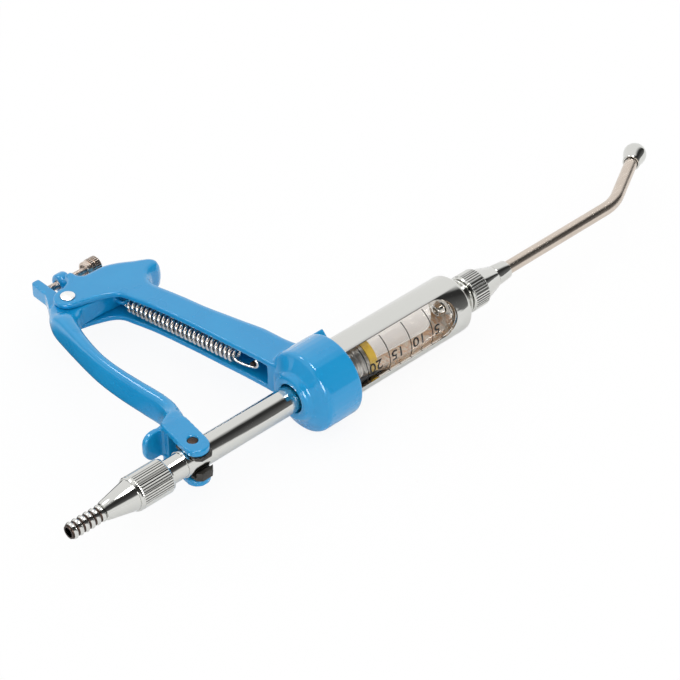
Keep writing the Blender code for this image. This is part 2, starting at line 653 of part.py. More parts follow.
def make_lever():
    """Bell-crank lever: hub, heel against the dose screw, spring arm, hand bar, fork and finger rest."""
    x, y = PIVOT_X, PIVOT_Y
    front, back, top = x + HEEL_FRONT, x - HEEL_BACK, HEEL_TOP_Y
    heel = plate("heel", [(front, y), (front, top - EDGE), (front - EDGE, top), (back + EDGE, top),
                          (back, top - EDGE)] + [(x + a, y + b) for a, b in HEEL_ROOT],
                 -HEEL_HALF, HEEL_HALF, ENAMEL)
    core = (arc((x, y), HUB_RADIUS, 150, 12, 10)
            + [(-50.0, 121.0), (TONGUE_END_X - 1.2, TONGUE_Y + 2.9), (TONGUE_END_X, TONGUE_Y + 1.8),
               (TONGUE_END_X, TONGUE_Y + 0.8), (TONGUE_END_X - 0.8, TONGUE_Y), (-57.8, TONGUE_Y),
               (-62.0, 109.5), (-68.0, 108.0), (-71.0, 112.0), (-69.0, 119.0), (-66.0, 124.0)])
    lever = plate("trigger_lever", core, -HUB_HALF, HUB_HALF, ENAMEL)
    stations = smooth([(*outer, *inner, half) for outer, inner, half in ARM], False, 2)
    arm = loft("lever_arm", [oval(s[0:2], s[2:4], s[4], ARM_SQUARENESS, ARM_SIDES) for s in stations], ENAMEL)
    lean = Vector((-math.sin(EAR_LEAN), -math.cos(EAR_LEAN)))
    side = Vector((-lean.y, lean.x))
    fork = Vector((FORK_X, 0))
    end = fork + lean * EAR_OVERHANG
    turn = math.degrees(math.atan2(side.y, side.x))
    root = fork - lean * EAR_REACH
    ear = arc(end, EAR_HALF, turn - 180, turn, 14)
    ear += [tuple(root + side * EAR_HALF), tuple(root - side * EAR_HALF)]
    upper = plate("upper_ear", ear, EAR_INNER, EAR_OUTER, ENAMEL)
    lower = plate("lower_ear", ear, -EAR_OUTER, -EAR_INNER, ENAMEL)
    bridge = plate("bridge", BRIDGE, GAP - EAR_OUTER, EAR_OUTER - GAP, ENAMEL)
    rest = ([(FLAP_ROOT_X, -FLAP_HALF), (FLAP_ROOT_X, FLAP_HALF)]
            + arc((FLAP_OUT_X + FLAP_ROUND, FLAP_HALF - FLAP_ROUND), FLAP_ROUND, 90, 180, 6)
            + arc((FLAP_OUT_X + FLAP_ROUND, FLAP_ROUND - FLAP_HALF), FLAP_ROUND, 180, 270, 6))
    flap = plate("finger_rest", rest, -FLAP_Y - FLAP_THICK, -FLAP_Y, ENAMEL,
                 turn=Matrix.Rotation(math.pi / 2, 4, "X"))
    rim = EYE_RADIUS + EYE_RIM
    lug = plate("spring_eye", [(EYE_X + rim, TONGUE_Y + 1)] + [(EYE_X - rim, TONGUE_Y + 1)]
                + arc((EYE_X, EYE_Y), rim, 180, 360, 10), -EYE_HALF, EYE_HALF, ENAMEL)
    join(lever, heel, arm, upper, lower, bridge, flap, lug)
    cut(lever,
        pin("lever_bore", PIVOT_PIN_RADIUS + GAP, -THROUGH, THROUGH, ENAMEL, x, y),
        pin("eye_hole", EYE_RADIUS, -HUB_HALF, HUB_HALF, ENAMEL, EYE_X, EYE_Y, 16),
        pin("fork_hole", FORK_PIN_RADIUS + GAP, -THROUGH, THROUGH, ENAMEL, FORK_X, 0))
    return lever


def make_linkage():
    """Pivot rivet, fork pins and the nylon blocks that slide in the tube's flats."""
    shank = HANDLE_HALF + GAP
    cap = shank + RIVET_HEAD_HEIGHT
    dome = [(0.0, RIVET_HEAD_RADIUS), (0.6, RIVET_HEAD_RADIUS * 0.86), (1.0, RIVET_HEAD_RADIUS * 0.5), (1.0, 0)]
    side = [(shank + rise * RIVET_HEAD_HEIGHT, radius) for rise, radius in dome]
    profile = ([(-along, radius) for along, radius in reversed(side)]
               + [(-shank, PIVOT_PIN_RADIUS), (shank, PIVOT_PIN_RADIUS)] + side)
    turned("pivot_pin", profile, CHROME, (PIVOT_X, PIVOT_Y, 0), ALONG_Z, ROUND_SMALL)
    half, low, high, edge = BLOCK_HALF, -BLOCK_OUT, BLOCK_IN, BLOCK_CHAMFER
    outline = [(edge - half, low), (half - edge, low), (half, low + edge), (half, high - edge),
               (half - edge, high), (edge - half, high), (-half, high - edge), (-half, low + edge)]
    for name, sign in (("upper", 1), ("lower", -1)):
        top = EAR_OUTER - FORK_PIN_SUNK
        low, high = sorted((sign * (BLOCK_FLOOR + GAP), sign * top))
        pin("fork_pin_" + name, FORK_PIN_RADIUS, low, high, STEEL, FORK_X, 0)
        inner = BLOCK_FLOOR if sign > 0 else BLOCK_LIP_FLOOR
        low, high = sorted((sign * inner, sign * BLOCK_TOP))
        block = plate("slide_block_" + name, outline, low, high, NYLON, (FORK_X, 0, 0))
        if sign < 0:
            cut(block, box("block_step", (-2 * half, BLOCK_LIP - BLOCK_OUT, -BLOCK_FLOOR),
                           (2 * half, 2 * BLOCK_IN, 0), NYLON, (FORK_X, 0, 0)))
        cut(block, pin("block_hole_" + name, FORK_PIN_RADIUS + GAP, -THROUGH, THROUGH, NYLON, FORK_X, 0))


def make_spring():
    """Extension spring: coils in the handle's channel, one hook round the anchor, one through the eye."""
    far, near = Vector((*COIL_FAR, 0)), Vector((*COIL_NEAR, 0))
    axis = (near - far).normalized()
    up = Vector((0, 0, 1))
    side = axis.cross(up)
    windings = coil(far, near, COIL_RADIUS, COIL_TURNS, COIL_POINTS, COIL_START)
    anchor = far + axis * ((ANCHOR_Y - far.y) / axis.y)
    hook_radius = ANCHOR_RADIUS + GAP + COIL_WIRE_RADIUS
    route = [anchor + (axis * math.cos(math.radians(a)) + up * math.sin(math.radians(a))) * hook_radius
             for a in range(110, 251, 20)]
    way = [far + axis * a + side * b + up * c for a, b, c in HOOK_WAY]
    sweep = [anchor - up * hook_radius] + way + windings[:1]
    route += [Vector(p) for p in smooth([tuple(p) for p in sweep], False, 2)]
    route += windings[1:]
    eye = far + axis * ((EYE_Y - far.y) / axis.y)
    loop = eye - axis * EYE_LOOP_RADIUS
    turn = [loop + (axis * math.cos(math.radians(a)) + up * math.sin(math.radians(a))) * EYE_LOOP_RADIUS
            for a in range(100, -141, -20)]
    last = windings[-1]
    route += bezier(last, last + up * 2.2 + axis * 0.5, turn[0] - axis * 1.6, turn[0], 6)
    route += turn[1:]
    spring = tube("return_spring", route, COIL_WIRE_RADIUS, STEEL, 1)
    gap = least_gap(route, COIL_WIRE_RADIUS, 6)
    print("return_spring: least gap to itself %.2f mm over %d points" % (gap, len(route)))
    return spring


def least_gap(route, radius, skip):
    """Least clear distance between stretches of a wire that are not neighbours."""
    best = 1000.0
    for i, first in enumerate(route):
        for second in route[i + skip:]:
            best = min(best, (first - second).length)
    return best - 2 * radius


def make_dose_screw():
    """Dose screw through the handle's boss: its tip stops the heel, its knob sets the stroke."""
    socket = KNOB_REAR_X + KNOB_SOCKET_DEPTH
    bar("dose_screw", SCREW_RADIUS, SCREW_TIP_X, socket - GAP, STEEL, SCREW_Y)
    front = KNOB_REAR_X + KNOB_LENGTH
    collar = KNOB_REAR_X + KNOB_COLLAR_LENGTH
    rear, edge = KNOB_REAR_X, KNOB_EDGE
    turned("dose_knob", [(rear, SCREW_RADIUS + GAP), (rear, KNOB_COLLAR_RADIUS - edge),
                         (rear + edge, KNOB_COLLAR_RADIUS), (collar, KNOB_COLLAR_RADIUS), (collar, KNOB_RADIUS),
                         (front - edge, KNOB_RADIUS), (front, KNOB_RADIUS - edge), (front, 0), (socket, 0),
                         (socket, SCREW_RADIUS + GAP)], STEEL, (0, SCREW_Y, 0), sides=24)
    bar("spring_anchor_pin", ANCHOR_RADIUS, ANCHOR_HEAD_X, ANCHOR_END_X, STEEL, ANCHOR_Y, sides=16)


def sleeve_windows(sleeve):
    """Two opposite windows, square towards the ring and round towards the nozzle."""
    half = SLEEVE_RADIUS * math.sin(WINDOW_HALF_ANGLE)
    outline = ([(WINDOW_REAR_X, -half), (WINDOW_FRONT_X - half, -half)]
               + arc((WINDOW_FRONT_X - half, 0), half, -80, 80, 12)
               + [(WINDOW_FRONT_X - half, half), (WINDOW_REAR_X, half)])
    cut(sleeve, plate("windows", outline, -2 * SLEEVE_RADIUS, 2 * SLEEVE_RADIUS, CHROME,
                      turn=Matrix.Rotation(WINDOW_TURN, 4, "X")))


def make_barrel():
    """Sleeve with its windows, the glass between two gaskets."""
    shoulder = [(SLEEVE_FRONT_X - SLEEVE_SHOULDER + b, SLEEVE_RADIUS - SLEEVE_SHOULDER + a)
                for a, b in arc((0, 0), SLEEVE_SHOULDER, 0, 90, 6)]
    space = (NECK_LENGTH - NECK_RINGS * NECK_RING_LENGTH) / (NECK_RINGS + 1)
    neck = [(SLEEVE_FRONT_X, NECK_GROOVE_RADIUS)]
    for i in range(NECK_RINGS):
        low = SLEEVE_FRONT_X + space + i * (space + NECK_RING_LENGTH)
        high = low + NECK_RING_LENGTH
        neck += [(low, NECK_GROOVE_RADIUS), (low, NECK_RADIUS), (high, NECK_RADIUS), (high, NECK_GROOVE_RADIUS)]
    neck += [(NECK_FRONT_X, NECK_GROOVE_RADIUS), (NECK_FRONT_X, THREAD_RADIUS), (THREAD_FRONT_X, THREAD_RADIUS)]
    bore = VALVE_NECK_RADIUS + GAP
    rear = RING_FLOOR_X + GAP
    inside = [(THREAD_FRONT_X, bore), (SLEEVE_INNER_X, bore), (SLEEVE_INNER_X, SLEEVE_BORE_RADIUS)]
    outside = [(rear, SLEEVE_BORE_RADIUS), (rear, SLEEVE_RADIUS)] + shoulder + neck
    sleeve = turned("barrel_sleeve", outside + inside, CHROME)
    sleeve_windows(sleeve)
    ring_piece("glass_barrel", GLASS_REAR_X, GLASS_FRONT_X, GLASS_BORE_RADIUS, GLASS_RADIUS, GLASS)
    for name, low in (("rear_glass_gasket", rear), ("front_glass_gasket", FRONT_GASKET_X)):
        ring_piece(name, low, low + GASKET, GLASS_BORE_RADIUS, GLASS_RADIUS, RUBBER)


def ring_piece(name, low, high, inner, outer, surface, sides=ROUND):
    """Plain ring or tube along the barrel axis."""
    return turned(name, [(low, inner), (low, outer), (high, outer), (high, inner)], surface, sides=sides)


def make_piston():
    """Hollow push tube, grooved piston head, seal, cap and the inlet valve inside."""
    rod = turned("push_tube", [(TUBE_REAR_X, TUBE_BORE_RADIUS), (TUBE_REAR_X, STUB_RADIUS),
                               (STUB_FRONT_X, STUB_RADIUS), (STUB_FRONT_X, TUBE_RADIUS),
                               (TUBE_FRONT_X, TUBE_RADIUS), (TUBE_FRONT_X, TUBE_BORE_RADIUS)], CHROME, sides=24)
    rear, front, wide = FORK_X - BLOCK_HALF - GAP, FORK_X + BLOCK_HALF + GAP, 2 * TUBE_RADIUS
    cut(rod, box("upper_flat", (rear, -wide, FLAT_HEIGHT), (front, wide, wide), CHROME),
        box("lower_flat", (rear, -wide, -wide), (front, wide, -FLAT_HEIGHT), CHROME))
    hub = SEAL_RADIUS - SEAL_WALL - GAP
    lip = SEAL_RADIUS - SEAL_LIP
    body = SEAL_REAR_X - GAP
    profile = [(PISTON_REAR_X, TUBE_RADIUS + GAP), (PISTON_REAR_X, PISTON_RADIUS)]
    spacing = PISTON_LENGTH / (GROOVES + 1)
    for i in range(GROOVES):
        low = PISTON_REAR_X + spacing * (i + 1) - GROOVE_WIDTH / 2
        high = low + GROOVE_WIDTH
        floor = PISTON_RADIUS - GROOVE_DEPTH
        profile += [(low, PISTON_RADIUS), (low, floor), (high, floor), (high, PISTON_RADIUS)]
    profile += [(body, PISTON_RADIUS), (body, hub), (SEAL_CUP_X, hub), (SEAL_CUP_X, PISTON_BORE_RADIUS),
                (SEAT_X, PISTON_BORE_RADIUS), (SEAT_X, VALVE_SEAT_RADIUS),
                (SEAT_X - PISTON_WEB, VALVE_SEAT_RADIUS), (SEAT_X - PISTON_WEB, TUBE_RADIUS + GAP)]
    turned("piston_head", profile, CHROME)
    turned("piston_seal", [(SEAL_REAR_X, hub + GAP), (SEAL_REAR_X, SEAL_RADIUS), (SEAL_FRONT_X, SEAL_RADIUS),
                           (SEAL_FRONT_X, lip), (SEAL_CUP_X, lip), (SEAL_CUP_X, hub + GAP)], SEAL)
    ring_piece("piston_cap", SEAL_CUP_X + GAP, SEAL_CUP_X + GAP + PISTON_CAP_LENGTH, PISTON_BORE_RADIUS,
               lip - GAP, CHROME)
    disc = SEAT_X + GAP
    stem = disc - VALVE_STEM_LENGTH
    face = disc + VALVE_DISC
    turned("inlet_valve", [(stem, 0), (stem, VALVE_STEM_RADIUS), (disc, VALVE_STEM_RADIUS),
                           (disc, VALVE_DISC_RADIUS), (face, VALVE_DISC_RADIUS), (face, 0)],
           RUBBER, sides=ROUND_SMALL)
    retainer = face + INLET_SPRING_LENGTH + 2 * GAP
    ring_piece("inlet_valve_retainer", retainer, retainer + RETAINER_LENGTH, VALVE_SEAT_RADIUS,
               PISTON_BORE_RADIUS - GAP, STEEL, ROUND_SMALL)
    valve_spring("inlet_valve_spring", face + GAP, INLET_SPRING_LENGTH, INLET_SPRING_RADIUS, INLET_SPRING_TURNS)


def valve_spring(name, low, length, radius, turns):
    """Small compression spring along the barrel axis."""
    wire = VALVE_WIRE_RADIUS
    start = Vector((low + wire, 0, 0))
    route = coil(start, Vector((low + length - wire, 0, 0)), radius, turns, VALVE_SPRING_POINTS)
    return tube(name, route, wire, STEEL, 1)


def make_connector():
    """Hose connector: knurled socket, cone and barbed tail, with its washer."""
    neck = BARB_ROOT_RADIUS
    profile = [(BARB_END_X, TUBE_BORE_RADIUS), (BARB_END_X, neck)]
    for i in range(BARBS):
        foot = BARB_END_X + i * BARB_PITCH
        profile += [(foot + 0.7 * BARB_PITCH, BARB_RADIUS), (foot + 0.85 * BARB_PITCH, BARB_RADIUS),
                    (foot + BARB_PITCH, neck)]
    rear, front = CONNECTOR_REAR_X, CONNECTOR_FRONT_X
    profile += [(CONE_END_X + GAP, CONE_NECK_RADIUS), (rear, CONNECTOR_RADIUS - EDGE),
                (rear + EDGE, CONNECTOR_RADIUS), (front - EDGE, CONNECTOR_RADIUS),
                (front, CONNECTOR_RADIUS - EDGE), (front, STUB_RADIUS + GAP), (SOCKET_END_X, STUB_RADIUS + GAP),
                (SOCKET_END_X, TUBE_BORE_RADIUS)]
    turned("hose_connector", profile, CHROME, sides=24)
    ring_piece("hose_washer", SOCKET_END_X + GAP, SOCKET_END_X + GAP + WASHER, TUBE_BORE_RADIUS, STUB_RADIUS,
               RUBBER, ROUND_SMALL)


def make_outlet():
    """Outlet valve body and valve, union nut, ferrule, bent nozzle tube and bulb tip."""
    neck, chamber, seat = VALVE_NECK_RADIUS, VALVE_CHAMBER_RADIUS, VALVE_SEAT_RADIUS
    nose = BODY_REAR_X - VALVE_NOSE_LENGTH
    spigot = GLASS_BORE_RADIUS - GAP
    rear, low, high = BODY_REAR_X, BODY_FLANGE_REAR_X, BODY_FLANGE_FRONT_X
    turned("outlet_valve_body", [(nose, seat), (nose, VALVE_NOSE_TIP_RADIUS), (rear, VALVE_NOSE_RADIUS),
                                 (rear, spigot), (low, spigot), (low, GLASS_RADIUS), (high, GLASS_RADIUS),
                                 (high, neck), (THREAD_FRONT_X, neck), (THREAD_FRONT_X, chamber),
                                 (OUTLET_SEAT_X, chamber), (OUTLET_SEAT_X, seat)], CHROME)
    disc = OUTLET_SEAT_X + GAP
    front = disc + VALVE_DISC
    stem = front + VALVE_STEM_LENGTH
    turned("outlet_valve", [(disc, 0), (disc, VALVE_DISC_RADIUS), (front, VALVE_DISC_RADIUS),
                            (front, VALVE_STEM_RADIUS), (stem, VALVE_STEM_RADIUS), (stem, 0)],
           RUBBER, sides=ROUND_SMALL)
    valve_spring("outlet_valve_spring", front + GAP, THREAD_FRONT_X - front - GAP, OUTLET_SPRING_RADIUS,
                 OUTLET_SPRING_TURNS)
    bore, thread = NOZZLE_RADIUS + GAP, THREAD_RADIUS + GAP
    rear, high, shelf = NUT_REAR_X, NUT_FRONT_X, COLLAR_FRONT_X + GAP
    turned("outlet_union_nut", [(rear, thread), (rear, NUT_RADIUS - EDGE), (rear + EDGE, NUT_RADIUS),
                                (high - EDGE, NUT_RADIUS), (high, NUT_RADIUS - EDGE),
                                (high, NUT_NOSE_REAR_RADIUS), (NUT_END_X, NUT_NOSE_FRONT_RADIUS),
                                (NUT_END_X, bore), (shelf, bore), (shelf, thread)], CHROME)
    ring_piece("nozzle_collar", COLLAR_REAR_X, COLLAR_FRONT_X, bore, THREAD_RADIUS, STEEL)
    turned("nozzle_ferrule", [(FERRULE_REAR_X, bore), (FERRULE_REAR_X, NUT_NOSE_FRONT_RADIUS - GAP),
                              (FERRULE_FRONT_X, FERRULE_RADIUS), (FERRULE_FRONT_X, bore)], CHROME)
    radius = NOZZLE_BEND_RADIUS
    tangent = radius * math.tan(NOZZLE_BEND / 2)
    end = NOZZLE_VERTEX + NOZZLE_DIRECTION * (NOZZLE_REACH + TIP_SOCKET_DEPTH - GAP)
    bend = arc((NOZZLE_VERTEX_X - tangent, radius), radius, -90, -90 + math.degrees(NOZZLE_BEND), 8)
    route = [Vector((COLLAR_REAR_X, 0, 0))] + [Vector((x, y, 0)) for x, y in bend] + [end]
    pipe = tube("nozzle_tube", route, NOZZLE_RADIUS, STEEL, 4)
    longer = [route[0] - Vector((2, 0, 0))] + route[1:-1] + [end + NOZZLE_DIRECTION * 2]
    cut(pipe, tube("nozzle_bore", longer, NOZZLE_BORE_RADIUS, STEEL, 3))
    turned("nozzle_tip", TIP_PROFILE + [(TIP_LENGTH, TIP_HOLE_RADIUS), (TIP_SOCKET_DEPTH, TIP_HOLE_RADIUS),
                                        (TIP_SOCKET_DEPTH, bore), (0, bore)], CHROME, TIP_BASE,
           Matrix.Rotation(NOZZLE_BEND, 4, "Z") @ ALONG_X, 24)


make_casting()
make_lever()
make_linkage()
make_spring()
make_dose_screw()
make_barrel()
make_piston()
make_connector()
make_outlet()
print("lever range %.2f degrees, stroke %.2f mm, tube follows at %.5f m per radian"
      % (math.degrees(LEVER_RANGE), STROKE, STROKE * MM / LEVER_RANGE))
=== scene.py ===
# %% [markdown]
# # A 20 ml drench gun
#
# A drench gun doses cattle and sheep by mouth. Squeezing the lever drives a hollow piston tube through a
# glass barrel, and a spring brings it back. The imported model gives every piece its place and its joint. This
# lesson gives each piece the shape, edges and finish that the eye expects of castings, turned brass and glass.
#
# Everything is given in one drawing frame in millimetres: x along the barrel from the handle ring's front
# face, y up the handle and z along the pivot pin.

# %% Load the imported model
import json
import math

import bmesh
import bpy
from mathutils import Matrix, Vector


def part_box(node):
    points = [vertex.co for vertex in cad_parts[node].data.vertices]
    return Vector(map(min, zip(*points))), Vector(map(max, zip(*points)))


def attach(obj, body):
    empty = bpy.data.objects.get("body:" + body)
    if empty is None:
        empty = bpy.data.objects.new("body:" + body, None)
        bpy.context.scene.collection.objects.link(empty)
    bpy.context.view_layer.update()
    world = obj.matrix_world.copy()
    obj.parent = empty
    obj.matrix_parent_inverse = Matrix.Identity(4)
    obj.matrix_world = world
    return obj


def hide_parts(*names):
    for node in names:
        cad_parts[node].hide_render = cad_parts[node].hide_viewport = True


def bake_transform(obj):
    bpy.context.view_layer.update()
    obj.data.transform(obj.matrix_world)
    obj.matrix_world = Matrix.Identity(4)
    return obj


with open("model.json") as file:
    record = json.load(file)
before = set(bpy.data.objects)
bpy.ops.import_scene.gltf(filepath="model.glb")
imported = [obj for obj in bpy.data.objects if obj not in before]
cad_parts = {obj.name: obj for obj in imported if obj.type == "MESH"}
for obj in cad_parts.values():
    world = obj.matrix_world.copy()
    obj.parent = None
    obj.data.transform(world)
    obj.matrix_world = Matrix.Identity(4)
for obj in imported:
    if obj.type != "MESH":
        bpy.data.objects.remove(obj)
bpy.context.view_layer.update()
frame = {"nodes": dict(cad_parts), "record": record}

MM = 0.001
BODY_OF = {node: body for body, nodes in frame["record"]["behaviour"]["bodies"].items() for node in nodes}

# %% Drawing frame
BASE = Vector((44.686, 63.55, -20.7))     # where the model's origin lies in the drawing


def spot(x, y, z=0.0):
    """World position of a drawing position given in millimetres."""
    return (Vector((x, y, z)) - BASE) * MM


print("barrel axis at", spot(0, 0))

# %% [markdown]
# ## Camera
#
# The photograph was taken with a long lens from the handle's side, a little above. A long lens keeps the
# barrel's sides almost parallel. The camera was fitted to the outline, so its place is given as it came out.

# %% Camera at the photograph's place
camera = bpy.data.objects.new("camera", bpy.data.cameras.new("camera"))
bpy.context.scene.collection.objects.link(camera)
azimuth, elevation = math.radians(-43.582), math.radians(38.593)
looking = Vector((-math.cos(elevation) * math.sin(azimuth), math.cos(elevation) * math.cos(azimuth),
                  -math.sin(elevation)))
camera.matrix_world = (Matrix.Translation(spot(-583.5, -618.1, 698.2))
                       @ looking.to_track_quat("-Z", "Y").to_matrix().to_4x4())
camera.data.sensor_width = 36
camera.data.lens = 36 * 2366 / 680
camera.data.clip_start = 0.01
bpy.context.scene.camera = camera
print("lens %.0f mm" % camera.data.lens)

# %% [markdown]
# ## Colours and nodes
#
# Colours are written as the hex values that a colour picker shows, and one function turns them to the linear
# values that the renderer counts in. One more function adds a node with its settings and links, so that a
# material reads as a short list.

# %% Helpers for materials
def linear(code, alpha=1.0):
    """Linear colour of an sRGB hex value."""
    parts = [int(code[i:i + 2], 16) / 255 for i in (1, 3, 5)]
    return (*[c / 12.92 if c <= 0.04045 else ((c + 0.055) / 1.055) ** 2.4 for c in parts], alpha)


def add(tree, kind, inputs=None, **settings):
    """Add a node, set its properties, and give its inputs values or links from other nodes' outputs."""
    node = tree.nodes.new(kind)
    for name, value in settings.items():
        setattr(node, name, value)
    for name, value in (inputs or {}).items():
        if isinstance(value, bpy.types.NodeSocket):
            tree.links.new(value, node.inputs[name])
        else:
            node.inputs[name].default_value = value
    return node


def new_material(name):
    """An empty material with an output, ready for its nodes."""
    print("material:", name)
    made = bpy.data.materials.new(name)
    made.use_nodes = True
    tree = made.node_tree
    tree.nodes.clear()
    return made, tree, tree.nodes.new("ShaderNodeOutputMaterial")


# %% [markdown]
# ## Baked enamel
#
# The handle and lever are die castings under a thick coat of blue enamel. Enamel flows before it is baked, so
# it is smooth at a finger's width but never quite flat: light on it wavers a little, which painters call
# orange peel. A few pale specks of dust were baked in. A Principled shader with a clear coat gives both the
# deep colour and the hard gloss on top; a plain glossy paint would look like plastic. The peel is 3 mm from
# crest to crest, the cloudiness about 15 mm, and the specks are under a millimetre.

# %% Blue enamel
ENAMEL, tree, out = new_material("blue_baked_enamel")
where = add(tree, "ShaderNodeTexCoord").outputs["Object"]
cloud = add(tree, "ShaderNodeTexNoise", {"Vector": where, "Scale": 65.0, "Detail": 2.0})
tint = add(tree, "ShaderNodeMix", {"Factor": cloud.outputs["Fac"], "A": linear("#078FCB"),
                                   "B": linear("#159BD5")}, data_type="RGBA")
speck = add(tree, "ShaderNodeTexNoise", {"Vector": where, "Scale": 1400.0, "Detail": 1.0})
dust = add(tree, "ShaderNodeMapRange", {"Value": speck.outputs["Fac"], "From Min": 0.79, "From Max": 0.83,
                                        "To Max": 0.55})
spotted = add(tree, "ShaderNodeMix", {"Factor": dust.outputs["Result"], "A": tint.outputs["Result"],
                                      "B": linear("#9CCBEA")}, data_type="RGBA")
peel = add(tree, "ShaderNodeTexNoise", {"Vector": where, "Scale": 320.0, "Detail": 1.0})
bump = add(tree, "ShaderNodeBump", {"Strength": 0.10, "Distance": 0.0002, "Height": peel.outputs["Fac"]})
gloss = add(tree, "ShaderNodeMapRange", {"Value": cloud.outputs["Fac"], "To Min": 0.24, "To Max": 0.32})
shader = add(tree, "ShaderNodeBsdfPrincipled", {
    "Base Color": spotted.outputs["Result"], "Roughness": gloss.outputs["Result"], "Specular IOR Level": 0.25,
    "Coat Weight": 1.0, "Coat IOR": 1.44, "Coat Roughness": 0.06, "Normal": bump.outputs["Normal"],
    "Coat Normal": bump.outputs["Normal"]})
tree.links.new(shader.outputs[0], out.inputs["Surface"])

# %% [markdown]
# ## Metals
#
# Chrome plate mirrors the studio and is almost colourless. The nozzle is drawn stainless tube, ground
# lengthwise, so its streaks are soft and a little warm. Nickel plate on the dose knob is warmer and duller.
# Inside the barrel sleeve the plating hardly reached, and pale brass shows. Real turning marks are finer than
# a tenth of a millimetre; they are drawn about a millimetre wide here, so that they show.

# %% Chrome plate
CHROME, tree, out = new_material("polished_chrome_plate")
where = add(tree, "ShaderNodeTexCoord").outputs["Object"]
smear = add(tree, "ShaderNodeTexNoise", {"Vector": where, "Scale": 90.0, "Detail": 3.0})
rough = add(tree, "ShaderNodeMapRange", {"Value": smear.outputs["Fac"], "From Min": 0.35, "From Max": 0.75,
                                         "To Min": 0.05, "To Max": 0.12})
drawn = add(tree, "ShaderNodeMapping", {"Vector": where, "Scale": (0.2, 1.0, 1.0)})
scratch = add(tree, "ShaderNodeTexNoise", {"Vector": drawn.outputs["Vector"], "Scale": 700.0, "Detail": 3.0})
bump = add(tree, "ShaderNodeBump", {"Strength": 0.22, "Distance": 0.0001, "Height": scratch.outputs["Fac"]})
shader = add(tree, "ShaderNodeBsdfPrincipled", {
    "Base Color": linear("#D5D5D1"), "Metallic": 1.0, "Roughness": rough.outputs["Result"],
    "Normal": bump.outputs["Normal"]})
tree.links.new(shader.outputs[0], out.inputs["Surface"])


# %% Other metals
def ground_metal(name, colour, darker, roughness, grain, across):
    """A metal with a fine grain: grain is in features a metre, across is how fine it runs along x, y and z."""
    made, tree, out = new_material(name)
    where = add(tree, "ShaderNodeTexCoord").outputs["Object"]
    stretched = add(tree, "ShaderNodeMapping", {"Vector": where, "Scale": across})
    lines = add(tree, "ShaderNodeTexNoise", {"Vector": stretched.outputs["Vector"], "Scale": grain,
                                             "Detail": 2.0})
    shade = add(tree, "ShaderNodeMix", {"Factor": lines.outputs["Fac"], "A": linear(darker),
                                        "B": linear(colour)}, data_type="RGBA")
    rough = add(tree, "ShaderNodeMapRange", {"Value": lines.outputs["Fac"], "To Min": roughness * 0.8,
                                             "To Max": roughness * 1.2})
    shader = add(tree, "ShaderNodeBsdfPrincipled", {
        "Base Color": shade.outputs["Result"], "Metallic": 1.0, "Roughness": rough.outputs["Result"]})
    tree.links.new(shader.outputs[0], out.inputs["Surface"])
    return made


NOZZLE_STEEL = ground_metal("drawn_stainless_tube", "#DED2C6", "#C6B9AC", 0.26, 900.0, (0.05, 1.0, 1.0))
NICKEL = ground_metal("nickel_plate", "#E2D4C8", "#C2B2A6", 0.30, 700.0, (1.0, 1.0, 1.0))
POLISHED = ground_metal("polished_rivet_steel", "#FAFAF8", "#F0F0EE", 0.30, 300.0, (1.0, 1.0, 1.0))
SPRING_STEEL = ground_metal("bright_spring_wire", "#F8F4EE", "#DCD6CE", 0.24, 600.0, (1.0, 1.0, 1.0))
# Blacked steel for the fork pins. The same dark steel is also painted shade on the windows' long edges, the
# knurl grooves, the barbs' grooves and the anchor pin.
BLACKED_STEEL_AND_SHADE = ground_metal("blacked_steel_and_painted_shade", "#5E4E46", "#262322", 0.38, 900.0, (1.0, 1.0, 1.0))


# %% [markdown]
# Brass that has stood in drench for years is stained in flames a few millimetres long. It has lost its mirror,
# so it is shaded as a dull, pale surface. Distorted noise, drawn out round the bore, gives the flames.

# %% Brass inside the sleeve
BRASS, tree, out = new_material("dull_brass_bore")
where = add(tree, "ShaderNodeTexCoord").outputs["Object"]
stretched = add(tree, "ShaderNodeMapping", {"Vector": where, "Scale": (1.0, 0.45, 0.45)})
flames = add(tree, "ShaderNodeTexNoise", {"Vector": stretched.outputs["Vector"], "Scale": 420.0, "Detail": 4.0,
                                          "Distortion": 1.5})
streaked = add(tree, "ShaderNodeMapRange", {"Value": flames.outputs["Fac"], "From Min": 0.36, "From Max": 0.60})
shade = add(tree, "ShaderNodeMix", {"Factor": streaked.outputs["Result"], "A": linear("#E8B680"),
                                    "B": linear("#FFFCF2")}, data_type="RGBA")
shader = add(tree, "ShaderNodeBsdfPrincipled", {
    "Base Color": shade.outputs["Result"], "Metallic": 0.0, "Roughness": 0.45})
tree.links.new(shader.outputs[0], out.inputs["Surface"])


# %% [markdown]
# ## Plastics, rubber, glass and ink
#
# The blocks are moulded nylon with a fine dull skin. The seals are rubber, and the numbers on the glass are
# printed in a thick black ink. All of them have a skin about a millimetre fine, with a shallow bump, because a
# moulding that is perfectly smooth looks like nothing that was ever made.

# %% Nylon, rubber and ink
def moulded(name, colour, darker, roughness, grain, depth):
    """Plastic or rubber with a fine cloudy skin: grain is in features a metre, depth in metres."""
    made, tree, out = new_material(name)
    where = add(tree, "ShaderNodeTexCoord").outputs["Object"]
    skin = add(tree, "ShaderNodeTexNoise", {"Vector": where, "Scale": grain, "Detail": 3.0})
    shade = add(tree, "ShaderNodeMix", {"Factor": skin.outputs["Fac"], "A": linear(darker),
                                        "B": linear(colour)}, data_type="RGBA")
    bump = add(tree, "ShaderNodeBump", {"Strength": 0.3, "Distance": depth, "Height": skin.outputs["Fac"]})
    shader = add(tree, "ShaderNodeBsdfPrincipled", {
        "Base Color": shade.outputs["Result"], "Roughness": roughness, "Normal": bump.outputs["Normal"]})
    tree.links.new(shader.outputs[0], out.inputs["Surface"])
    return made


